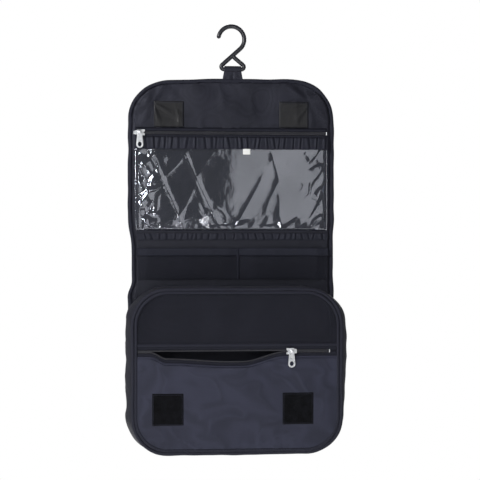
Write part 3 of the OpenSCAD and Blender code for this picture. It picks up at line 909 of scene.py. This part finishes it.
def zip_tape(prefix, side, name, body, points, width, seam):
    """One side's tape, with a row of stitches along it."""
    tape = cloth(f"{prefix}_tape_{name}", points[::side], 0.5 * MM, "zip_tape")
    settle(tape, body, f"{prefix}_zip_tape_{name}", flat=(width, 10 * MM), held="stretched")
    pitch = 2.4 * MM if prefix == "window" else 2.6 * MM
    settle(stitches(f"{prefix}_tape_{name}_stitches", seam, 1.9 * MM, pitch), body)


def rounded(corners, steps=7):
    """An outline with rounded corners, from its sharp corners and their radii [(x, z, r), ...]."""
    loop = []
    for i, (x, z, r) in enumerate(corners):
        here = np.array((x, z))
        ways = []
        for other in (corners[i - 1], corners[(i + 1) % len(corners)]):
            way = np.array(other[:2]) - here
            ways.append(way / np.linalg.norm(way))
        half = math.acos(np.clip(ways[0] @ ways[1], -1, 1)) / 2
        middle = ways[0] + ways[1]
        centre = here + middle / np.linalg.norm(middle) * r / math.sin(half)
        start, end = (here + way * r / math.tan(half) - centre for way in ways)
        for t in np.linspace(0, 1, steps):
            turn = start * (1 - t) + end * t
            loop.append(tuple(centre + turn / np.linalg.norm(turn) * r))
    return loop


def slider_shape(length, width, wide_end):
    """A slider's plate: narrow where the zip is closed, forked where its two sides part."""
    corners = [(-0.5, -0.3, 0.9), (0.1, -0.46, 2.0), (0.5, -0.46, 0.7), (0.5, -0.16, 0.4), (0.3, 0, 0.5),
               (0.5, 0.16, 0.4), (0.5, 0.46, 0.7), (0.1, 0.46, 2.0), (-0.5, 0.3, 0.9)]
    return rounded([(x * length * wide_end, z * width, r * MM) for x, z, r in corners])


def slider_body(prefix, x, y, z, back_t, wide_end):
    """A slider's two plates with the wedge between them, its rails, and the capped post on its front."""
    front = y - 1.1 * MM
    node = f"{prefix}_slider_body"
    length, _, width = np.ptp(box(node), axis=0)
    parts = [flat_plate([slider_shape(length, width, wide_end)], 1.2 * MM, 0.25 * MM,
                        (x, front - 0.6 * MM, z))]
    for side in (-1, 1):
        rail = [(sx * 0.32 * length, side * width * 0.4 + sz * 0.35 * MM, 0.15 * MM)
                for sx, sz in ((-1, -1), (1, -1), (1, 1), (-1, 1))]
        parts.append(flat_plate([rounded(rail)], 1.0 * MM, 0.1 * MM,
                                (x + 0.06 * length * wide_end, front + 0.3 * MM, z)))
    parts.append(flat_plate([slider_shape(length - 1 * MM, width - 1 * MM, wide_end)], back_t, 0.1 * MM,
                            (x, y + 1.1 * MM + back_t / 2, z)))
    wedge = [(0.02 * length, 0, 0.1 * MM), (0.3 * length, -0.7 * MM, 0.2 * MM),
             (0.3 * length, 0.7 * MM, 0.2 * MM)]
    parts.append(flat_plate([rounded(wedge)], 2.3 * MM, 0.05 * MM, (x, y, z), flip=wide_end))
    cap = [(0.9, 1.1), (0.9, 3.0), (1.9, 3.05), (2.05, 3.3), (1.7, 3.75), (0.9, 3.98), (0.02, 4.02)]
    verts = [(px, front - rise * MM, pz) for r, rise in cap for px, pz in circle(r * MM, 24, x, z)]
    post = add_piece("post", verts, tube_faces(len(cap), 24, False), "metal")
    fix_normals(post)
    settle(join(f"{prefix}_slider", *parts, post), f"{prefix}_slider", node)


def slider_pull(prefix, x, z):
    """The pull tab: an eye for the post, a thumb hole and a raised rim round it."""
    node = f"{prefix}_slider_pull"
    low, high = box(node)
    top_r, low_r = 2.7 * MM, (high[0] - low[0]) / 2
    reach = z - low[2] - low_r
    lean = math.asin((low_r - top_r) / reach)
    outline = [(low_r * math.cos(t), -reach + low_r * math.sin(t))
               for t in np.linspace(math.pi - lean, 2 * math.pi + lean, 26)]
    outline += [(top_r * math.cos(t), top_r * math.sin(t)) for t in np.linspace(lean, math.pi - lean, 20)]
    hole_z = -reach + 0.4 * MM
    eye, hole = circle(1.25 * MM, 24), circle(2.15 * MM, 24, 0, hole_z, 2.65 * MM)
    middle_y = (low[1] + high[1]) / 2
    tab = flat_plate([outline, eye, hole], 1.2 * MM, 0.28 * MM, (x, middle_y, z))
    path = [(px, middle_y - 0.55 * MM, pz) for px, pz in circle(3.0 * MM, 24, x, z + hole_z, 3.45 * MM)]
    rim = swept_piece("rim", path, circle(0.22 * MM, 6), "metal", closed_path=True)
    settle(join(f"{prefix}_pull", tab, rim), f"{prefix}_pull", node)


def zip_ends(prefix, y, z, body, back_t, wide_end):
    """The crimped stops over both coils at the zip's ends, and its slider and pull."""
    node = f"{prefix}_zip_stops"
    low, high = box(node)
    _, thick, tall = high - low
    bar = [(sx * 0.55 * MM, sz * tall / 2) for sx, sz in ((-1, -1), (1, -1), (1, 1), (-1, 1))]
    parts = [flat_plate([bar], thick, 0.2 * MM, (x, (low[1] + high[1]) / 2, (low[2] + high[2]) / 2))
             for x in (low[0] + 0.5 * MM, high[0] - 0.5 * MM)]
    settle(join(f"{prefix}_stops", *parts), body, node)
    x = box(f"{prefix}_slider_pull")[:, 0].mean()
    slider_body(prefix, x, y, z, back_t, wide_end)
    slider_pull(prefix, x, z)


def window_zip():
    x0, x1, y, z = WINDOW_ZIP
    for side, name in ((1, "upper"), (-1, "lower")):
        path = [(x, y, z + side * COIL_OFF) for x in (x0, x1)]
        zip_teeth(f"window_coil_{name}", path, side, f"window_zip_coil_{name}", "top_panel")
        low, high = box(f"window_zip_tape_{name}")
        xs = np.linspace(low[0], high[0], 90)
        # the tape runs from the coil's edge out to the seam, then turns back to the lining
        steps = np.array([(y, 2.0), (y, 3.2), (y + 0.1 * MM, 4.4), (y + 0.8 * MM, 5.4),
                          (FACE_Y + 0.1 * MM, 5.8), (FACE_Y + 0.2 * MM, 7.0)])
        zs = z + side * steps[:, 1:] * MM
        wavy = np.array([0, 0, 1, 1, 1, 1])[:, None]
        ys = steps[:, :1] + 0.12 * MM * ripple(xs[None], zs, 51, 16 * MM) * wavy
        seam = [(x, y - 0.35 * MM, z + side * 3.9 * MM) for x in (low[0], high[0])]
        zip_tape("window", side, name, "top_panel", surface(xs, ys, zs), high[0] - low[0], seam)
    zip_ends("window", y, z, "top_panel", 0.6 * MM, 1)


# ---- The clear pocket ----

def gathered_band(name, x_half, z_low, z_high, y_low, y_high, seed, pleat):
    """A band of cloth gathered along its upper and lower seams, so that it stands in small pleats."""
    x, z = np.meshgrid(np.linspace(-x_half, x_half, 520), np.linspace(z_low, z_high, 17))
    share = (z - z_low) / (z_high - z_low)
    rng = np.random.default_rng(seed)
    folds = np.zeros_like(x)
    at = -x_half
    while at < x_half:
        at += rng.uniform(4.5, 11.0) * MM
        width = rng.uniform(1.1, 2.2) * MM
        middle = at + rng.uniform(-2.5, 2.5) * MM * (share - 0.5)
        folds += rng.uniform(0.45, 1.0) * np.exp(-((x - middle) / width) ** 2)
        folds -= rng.uniform(0.3, 0.7) * np.exp(-((x - middle - 1.6 * width) / (0.7 * width)) ** 2)
    swell = np.sin(share * math.pi) ** 0.5
    y = y_low + (y_high - y_low) * share
    y = y - pleat * np.clip(folds, -0.8, 1.2) * (0.3 + 0.7 * swell) - 0.3 * MM * swell
    return cloth(name, surface(x, y, z), 0.45 * MM, "gathered_nylon")


def film_y(x, z):
    """The clear film: held down at its sides, slack and creased between them."""
    low, high = WINDOW_LOW, WINDOW_HIGH
    across = np.clip((high[0] - np.abs(x)) / (high[0] - low[0]) * 2, 0, 1)
    down = np.clip((z - low[2]) / (high[2] - low[2]), 0, 1)
    tuck = 1 + 0.5 * ripple(x, z, 67, 20 * MM, 5)
    full = 0.45 * smoothstep(across, 0.0, 0.03)
    full = full + 0.55 * smoothstep(across / np.maximum(tuck, 0.4), 0.0, 0.16)
    full *= 0.75 * smoothstep(down, 0.0, 0.02) + 0.25 * smoothstep(down / np.maximum(tuck, 0.6), 0.0, 0.14)
    depth = FACE_Y - 1.2 * MM - 3.4 * MM * full
    tight = smoothstep(across, 0.0, 0.05) * smoothstep(down, 0.0, 0.06)
    tight = tight * (1 - 0.8 * smoothstep(down, 0.88, 1.0))
    slack = 0.55 * MM * ripple(x, z * 0.5, 61, 70 * MM, 4)
    # long folds that run down the film, leaning a little either way
    folds = 0.5 * MM * creases(x + 0.45 * z, z * 0.2, 63, 90 * MM)
    folds += 0.45 * MM * creases(x - 0.6 * z, z * 0.2, 64, 80 * MM)
    # the crumpled ends, beside the binding
    end = smoothstep(np.abs(x), 70 * MM, 104 * MM)
    end = np.maximum(end, np.exp(-((x + 35 * MM) / (22 * MM)) ** 2) * np.exp(-((down - 0.12) / 0.16) ** 2))
    end = end * np.where(x > 0, 0.6, 1)
    crumple = 1.0 * MM * creases(x * 0.9 + 0.4 * z, z * 0.6 - x * 0.3, 65, 34 * MM)
    crumple += 0.35 * MM * ripple(x, z, 66, 20 * MM, 5)
    y = depth - tight * (slack + folds + end * crumple - 0.4 * MM)
    return np.clip(y, FACE_Y - 7.2 * MM, FACE_Y - 1.0 * MM)


def clear_pocket():
    low, high = WINDOW_LOW, WINDOW_HIGH
    x, z = np.meshgrid(np.linspace(low[0] - 1.5 * MM, high[0] + 1.5 * MM, 260),
                       np.linspace(low[2] + 0.3 * MM, high[2] + 1.2 * MM, 120))
    film = cloth("window_film", sway(surface(x, film_y(x, z), z)), 0.3 * MM, "film")
    settle(film, "top_panel", "clear_window", flat=(223 * MM, 98 * MM), held="stretched")

    band = gathered_band("window_gathers", high[0] + 1.0 * MM, high[2] - 0.4 * MM, WINDOW_ZIP_Z - 4.6 * MM,
                         FACE_Y - 4.7 * MM, WINDOW_ZIP[2] - 0.4 * MM, 71, 0.8 * MM)
    settle(band, "top_panel", "window_gathered_trim", flat=(250 * MM, 16 * MM), held="gathered")

    # a short loop of cloth tape, both of its ends sewn into the seam
    low, high = box("care_tag")
    drop = np.linspace(high[2], low[2], 7)
    front_y, bend = low[1] - 0.2 * MM, 0.35 * MM
    section = [(front_y, z) for z in drop]
    section += [(front_y + bend * (1 - math.cos(t)), low[2] - bend * math.sin(t))
                for t in np.linspace(0, math.pi, 9)[1:-1]]
    section = np.array(section + [(front_y + 2 * bend, z) for z in drop[::-1]])
    points = surface(np.linspace(low[0], high[0], 8), section[:, :1], section[:, 1:])
    tag = cloth("blank_tag", points, 0.25 * MM, "tag")
    fix_normals(tag)
    settle(tag, "top_panel", "care_tag", flat=(10 * MM, 13 * MM), held="folded")


# ---- The middle panel's mesh pockets ----

def net(name, x_limits, z_limits, keep, place, pitch):
    """Open knitted mesh: a sheet of diamond cells, each a ring of four strands round a hole.

    keep(x, z) says which cells are wanted and place(x, z) gives the surface's y; both take arrays."""
    thick, strand = 0.35 * MM, 0.40
    half = pitch / 2
    columns, rows = (np.arange(1, int((high - low) / half)) for low, high in (x_limits, z_limits))
    i, k = (grid.ravel() for grid in np.meshgrid(columns, rows))
    wanted = ((i + k) % 2 == 0) & keep(x_limits[0] + i * half, z_limits[0] + k * half)
    i, k = i[wanted], k[wanted]
    around = ((1, 0), (0, 1), (-1, 0), (0, -1))
    knots = np.stack([(i + di) * 100000 + (k + dk) for di, dk in around], axis=1)
    names, corner = np.unique(knots, return_inverse=True)
    corner = corner.reshape(-1, 4)
    inner = half * (1 - strand)
    hole_x = np.stack([i * half + di * inner for di, _ in around], axis=1).ravel()
    hole_z = np.stack([k * half + dk * inner for _, dk in around], axis=1).ravel()
    x = x_limits[0] + np.append(names // 100000 * half, hole_x)
    z = z_limits[0] + np.append(names % 100000 * half, hole_z)
    y = place(x, z)
    hole = len(names) + np.arange(4 * len(i)).reshape(-1, 4)
    layer = len(x)
    faces, sides = [], []
    for a, b in ((0, 1), (1, 2), (2, 3), (3, 0)):
        front = np.stack([corner[:, a], corner[:, b], hole[:, b], hole[:, a]], axis=1)
        wall = np.stack([hole[:, a], hole[:, b], hole[:, b] + layer, hole[:, a] + layer], axis=1)
        faces += [front, front[:, ::-1] + layer, wall]
        sides.append(corner[:, [a, b]])
    # the outer rim, so that the net is closed all round
    sides = np.concatenate(sides)
    _, first, count = np.unique(np.sort(sides, axis=1), axis=0, return_index=True, return_counts=True)
    rim = sides[first[count == 1]]
    faces.append(np.stack([rim[:, 1], rim[:, 0], rim[:, 0] + layer, rim[:, 1] + layer], axis=1))
    verts = np.concatenate([np.stack([x, y - thick / 2, z], 1), np.stack([x, y + thick / 2, z], 1)])
    return add_piece(name, verts, np.concatenate(faces).tolist(), "mesh")


def mid_pocket_y(x, z):
    """The mesh pockets stand out from the lining, fullest at the hem, and dip at the divider and sides."""
    low = box("mesh_pocket_left")[0][2]
    high = box("pocket_hem")[0][2]
    rise = np.clip((z - low) / (high - low), 0, 1)
    from_divider = np.clip(np.abs(x - box("pocket_divider")[:, 0].mean()) / (22 * MM), 0, 1)
    from_side = np.clip((INNER_X - np.abs(x)) / (14 * MM), 0, 1)
    full = 0.3 + 0.7 * smoothstep(from_divider, 0, 1) * smoothstep(from_side, 0, 1)
    depth = (1.0 + 3.3 * full * (0.35 + 0.65 * rise ** 0.7)) * MM
    return FACE_Y - depth - 0.2 * MM * ripple(x, z, 81, 30 * MM)


def set_shape(piece, shape):
    co = np.array([v.co for v in piece.data.vertices])
    piece.data.vertices.foreach_set("co", shape(co).ravel())


def mid_pockets():
    z_low = box("mesh_pocket_left")[0][2] - 0.6 * MM
    z_high = box("pocket_hem")[0][2] + 1 * MM
    x_mid = box("pocket_divider")[:, 0].mean()
    for side, x0, x1 in (("left", -INNER_X - 1 * MM, x_mid), ("right", x_mid, INNER_X + 1 * MM)):
        mesh = net(f"pocket_net_{side}", (x0, x1), (z_low, z_high), lambda x, z: x > x0, mid_pocket_y,
                   1.75 * MM)
        set_shape(mesh, sway)
        settle(mesh, "mid_panel", f"mesh_pocket_{side}", flat=(x1 - x0, z_high - z_low), held="hung",
               area=(x1 - x0) * (z_high - z_low) * 0.8)

    low, high = box("pocket_hem")
    tall = high[2] - low[2]
    x, z = np.meshgrid(np.linspace(-INNER_X - 1 * MM, INNER_X + 1 * MM, 160),
                       np.linspace(low[2], high[2], 9))
    edge = np.abs((z - (low[2] + high[2]) / 2) / (tall / 2))
    y = mid_pocket_y(x, z * 0 + low[2]) - 0.5 * MM * (1 - edge ** 4)
    y = y - 0.25 * MM * ripple(x, z * 0.3, 82, 18 * MM)
    hem = cloth("pocket_hem_tape", sway(surface(x, y, z)), 1.0 * MM, "hem_tape")
    settle(hem, "mid_panel", "pocket_hem", flat=(2 * INNER_X, 10 * MM), held="stretched")
    for row, share in (("upper", 0.82), ("lower", 0.16)):
        path = [(px, mid_pocket_y(px, low[2]) - 1.05 * MM, low[2] + tall * share)
                for px in np.linspace(-INNER_X, INNER_X, 60)]
        settle(stitches(f"pocket_hem_stitches_{row}", path, 1.8 * MM, 2.4 * MM, shape=sway), "mid_panel")

    path = np.array([(x_mid, mid_pocket_y(x_mid, z) - 0.5 * MM, z)
                     for z in np.linspace(box("pocket_divider")[0][2] - 0.5 * MM, high[2], 24)])
    flat = np.array([(-1.5, 0.15), (-1.3, -0.3), (0, -0.42), (1.3, -0.3), (1.5, 0.15), (0, 0.3)]) * MM
    settle(swept_piece("pocket_seam", path, flat, "zip_tape", shape=sway), "mid_panel", "pocket_divider")
    settle(stitches("pocket_seam_stitches", path - (0, 0.5 * MM, 0), 1.7 * MM, 2.2 * MM, shape=sway),
           "mid_panel")

    low, high = box("fold_trim")
    band = gathered_band("fold_gathers", INNER_X + 0.5 * MM, low[2], high[2] + 0.3 * MM, FACE_Y - 0.4 * MM,
                         FACE_Y - 0.5 * MM, 72, 0.7 * MM)
    set_shape(band, sway)
    settle(band, "mid_panel", "fold_trim", flat=(250 * MM, 10 * MM), held="gathered")


# ---- The lower bag ----

def bag_path(inset, step=2.4 * MM, y=0.0):
    """The lower bag's outline, anticlockwise as seen from the front."""
    r, x = BAG_R - inset, BAG_HALF_W - BAG_R
    high, low = BAG_TOP_Z - BAG_R, BAG_BOTTOM_Z + BAG_R
    path = [(BAG_HALF_W - inset, y, low), *arc((x, y, high), r, 0, 90, 24),
            *arc((-x, y, high), r, 90, 180, 24), *arc((-x, y, low), r, 180, 270, 24),
            *arc((x, y, low), r, 270, 360, 24)[:-1]]
    return resample(path, step, closed=True)[0]


def lean(points):
    """The soft bag leans: its front hangs a little further right than its back."""
    points = points.copy()
    points[..., 0] += LEAN * np.clip((FACE_Y - points[..., 1]) / (FACE_Y - BAG_FRONT_Y), 0, 1)
    return points


def outward(path):
    run = np.roll(path, -1, axis=0) - np.roll(path, 1, axis=0)
    return np.cross((0, 1, 0), run / np.linalg.norm(run, axis=1, keepdims=True))


def lip_drop(x):
    """How far the open zip's lower lip hangs below the closed line."""
    sag = 7.0 * smoothstep(x, -91.5 * MM, -73 * MM) + 3.5 * smoothstep(x, -73 * MM, -4 * MM)
    return (sag - 10.5 * smoothstep(x, 10 * MM, 59 * MM)) * MM


def lip_forward(drop):
    return 0.8 * MM * smoothstep(drop, 0, 6 * MM)


def bag_face(x, z):
    """The front of the lower bag: the net lies flat, the nylon below the zip is a little full."""
    below = np.clip((BAG_ZIP_Z - z) / (BAG_ZIP_Z - BAG_BOTTOM_Z), 0, 1)
    across = np.clip(np.abs(x - LEAN) / BAG_HALF_W, 0, 1)
    full = np.sin(below * math.pi) ** 0.8 * (1 - across ** 3)
    rim = np.exp(-((1 - below) / 0.13) ** 2)
    folds = 0.5 * MM * ripple(x * 0.8, z, 91, 60 * MM) + 0.55 * MM * creases(x * 0.55, z, 92, 48 * MM)
    folds = folds + 0.5 * MM * rim * np.abs(ripple(x, z * 0.3, 94, 17 * MM))
    folds = folds + 0.35 * MM * rim * ripple(x, z * 0.2, 95, 40 * MM)
    folds = folds * smoothstep(below, 0.0, 0.12) * (1 - smoothstep(across, 0.86, 0.97))
    folds = folds * (1 - smoothstep(below, 0.955, 0.985))
    return BAG_FRONT_Y - 1.6 * MM * full - folds * 0.85


def bag_sides():
    """The side wall: one ring of cloth that bulges between its front and back piping."""
    back_y, front_y = FACE_Y - 1.5 * MM, BAG_FRONT_Y + 2.2 * MM
    path = bag_path(1.2 * MM)
    out = outward(path)
    top = np.clip(out[:, 2], 0, 1) ** 2
    bulge = (5.5 * np.abs(out[:, 0]) ** 1.5 + 2.5 * np.clip(-out[:, 2], 0, 1) ** 2 - 1.6 * top) * MM
    bulge += 4.5 * MM * np.clip(out[:, 0], 0, 1) * np.exp(-((path[:, 2] + 350 * MM) / (60 * MM)) ** 2)
    along = np.cumsum(np.linalg.norm(np.diff(path, axis=0, append=path[:1]), axis=1))
    closing = np.minimum(np.arange(len(path)), np.arange(len(path))[::-1])
    d = np.linspace(0, 1, 25)[:, None]
    swell = np.maximum(np.sin(math.pi * d), 0) ** 0.8
    folds = 0.9 * MM * ripple(along[None], d * 30 * MM, 101, 34 * MM)
    folds += 1.0 * MM * creases(along[None], d * 22 * MM, 102, 44 * MM)
    folds = folds * np.clip(closing / 10, 0, 1)
    folds = np.where(top > 0.3, np.minimum(folds, 0.2 * MM), folds)
    points = path + out * ((bulge + folds * 0.7) * swell)[..., None]
    points[..., 1] = back_y + (front_y - back_y) * d
    wall = cloth("bag_side_wall", lean(points)[::-1][:, ::-1], 0.8 * MM, "outer_nylon", wrap=True)
    fix_normals(wall)
    settle(wall, "lower_bag", "bag_gusset_top", "bag_gusset_lower", flat=(float(along[-1]), 44 * MM),
           held="stretched")


def bag_piping():
    for name, y, d in (("front_piping", BAG_FRONT_Y + 1.0 * MM, PIPING_D - 0.2 * MM),
                       ("back_piping", FACE_Y - 2.1 * MM, PIPING_D - 0.8 * MM)):
        path = bag_path(d / 2, 2.0 * MM, y)
        wave = ripple(path[:, 0], path[:, 2], 111, 22 * MM)
        profile = circle(d / 2, 14) * (1 + 0.06 * wave)[:, None, None]
        path = path + outward(path) * (0.35 * MM * ripple(path[:, 0], path[:, 2], 112, 60 * MM))[:, None]
        pipe = swept_piece(name, path, profile, "binding", closed_path=True, shape=lean)
        settle(pipe, "lower_bag", f"bag_{name}")

    def on_face(inset, rise):
        path = bag_path(PIPING_D + inset)
        path[:, 0] += LEAN
        path[:, 1] = np.minimum(bag_face(path[:, 0], path[:, 2]), BAG_FRONT_Y) - rise
        return path
    # the piping's sewn lip and its stitches, just inside it on the front
    profile = np.array([(-1.6, 0.2), (-1.4, -0.3), (0, -0.38), (1.5, -0.3), (1.7, 0.2), (0, 0.4)]) * MM
    lip = swept_piece("front_piping_lip", on_face(1.3 * MM, 0.35 * MM), profile, "binding",
                      closed_path=True)
    settle(lip, "lower_bag")
    settle(stitches("front_piping_stitches", on_face(1.6 * MM, 0.75 * MM), closed=True), "lower_bag")


def bag_front():
    inset = PIPING_D - 0.6 * MM
    rows, halves = lower_panel(BAG_ZIP_Z - 7.6 * MM, inset, 46, BAG_HALF_W)
    points = panel_grid(rows, halves, 0.0, 141)
    points[..., 0] += LEAN
    x, z = points[..., 0], points[..., 2]
    share = np.clip((z - (BAG_ZIP_Z - 60 * MM)) / (52.4 * MM), 0, 1) ** 1.6
    points[..., 2] = z - lip_drop(x) * share
    points[..., 1] = bag_face(x, points[..., 2]) - share * lip_forward(lip_drop(x))
    panel = cloth("front_nylon_panel", points, 0.7 * MM, "front_nylon")
    settle(panel, "lower_bag", "bag_front_panel", flat=(2 * BAG_HALF_W, rows[-1] - rows[0] + 4 * MM),
           held="stretched")

    # the net above the zip
    z_low, z_high = BAG_ZIP_Z + 6.6 * MM, BAG_TOP_Z - inset

    def keep(x, z):
        return (z < z_high) & (np.abs(x - LEAN) < arch_half(z, BAG_HALF_W - inset, z_high, BAG_R - inset))
    mesh = net("front_net", (LEAN - BAG_HALF_W, LEAN + BAG_HALF_W), (z_low, z_high + 1 * MM), keep,
               net_face, 1.85 * MM)
    settle(mesh, "lower_bag", "bag_front_mesh", flat=(2 * BAG_HALF_W, z_high - z_low), held="stretched",
           area=2 * BAG_HALF_W * (z_high - z_low) * 0.78)


def net_face(x, z):
    """The net sinks a little between the piping and the zip, and folds softly."""
    low = BAG_ZIP_Z + 6 * MM
    share = np.clip((z - low) / (BAG_TOP_Z - low), 0, 1)
    across = np.clip(np.abs(x - LEAN) / BAG_HALF_W, 0, 1)
    dip = np.sin(share * math.pi) * (1 - across ** 3)
    return BAG_FRONT_Y + 0.5 * MM + 2.2 * MM * dip + 0.5 * MM * dip * ripple(x, z, 93, 50 * MM)


def bag_zip():
    x0, x1, y, z = BAG_ZIP
    edge_x = BAG_HALF_W - PIPING_D + 0.4 * MM
    xs = np.linspace(LEAN - edge_x, LEAN + edge_x, 150)
    closed = np.maximum(smoothstep(-xs, -x0 - 1 * MM, -x0 + 1 * MM),
                        smoothstep(xs, x1 - 1 * MM, x1 + 1 * MM))
    for side, name in ((1, "upper"), (-1, "lower")):
        open_side = side < 0
        at = np.linspace(x0, x1, 160)
        drop = lip_drop(at) * open_side
        path = np.stack([at, y - lip_forward(drop), z + side * COIL_OFF - drop], axis=1)
        zip_teeth(f"bag_coil_{name}", path, side, f"bag_zip_coil_{name}", "lower_bag")
        drop = lip_drop(xs) * open_side
        forward = lip_forward(drop)
        i = np.arange(5)[:, None]
        offs = np.array([2.0, 3.6, 5.4, 7.4, 9.2])[:, None]
        inner = closed * (offs - 0.15) * (i == 0)
        points = surface(xs, y - forward * (1 - i / 8) + 0.15 * MM * ripple(xs[None], offs, 121, 20 * MM),
                         z + side * (offs - inner) * MM - drop * (1 - 0.03 * i))
        # the panel's folded edge, sewn to the tape
        path = np.stack([xs, y - 0.55 * MM - forward, z + side * 6.9 * MM - drop], axis=1)
        zip_tape("bag", side, name, "lower_bag", points, 2 * edge_x, path - (0, 0.55 * MM, 0))
        profile = [(-1.6, 0.25), (-1.5, -0.3), (0, -0.5), (1.5, -0.3), (1.6, 0.25), (0, 0.45)]
        fold = swept_piece(f"bag_tape_{name}_fold", path, np.array(profile) * MM,
                           "front_nylon" if open_side else "binding")
        settle(fold, "lower_bag")
    zip_ends("bag", y, z, "lower_bag", 0.8 * MM, -1)


# ---- Build it all ----

for make in (make_camera, make_stage, make_hook, make_hanger_tab, outer_cloth, lining, padding, edge_rolls,
             hook_patches, window_zip, clear_pocket, mid_pockets, bag_sides, bag_piping, bag_front, bag_zip,
             loop_patches):
    make()

bpy.context.scene.view_settings.view_transform = "Standard"

bpy.context.view_layer.update()
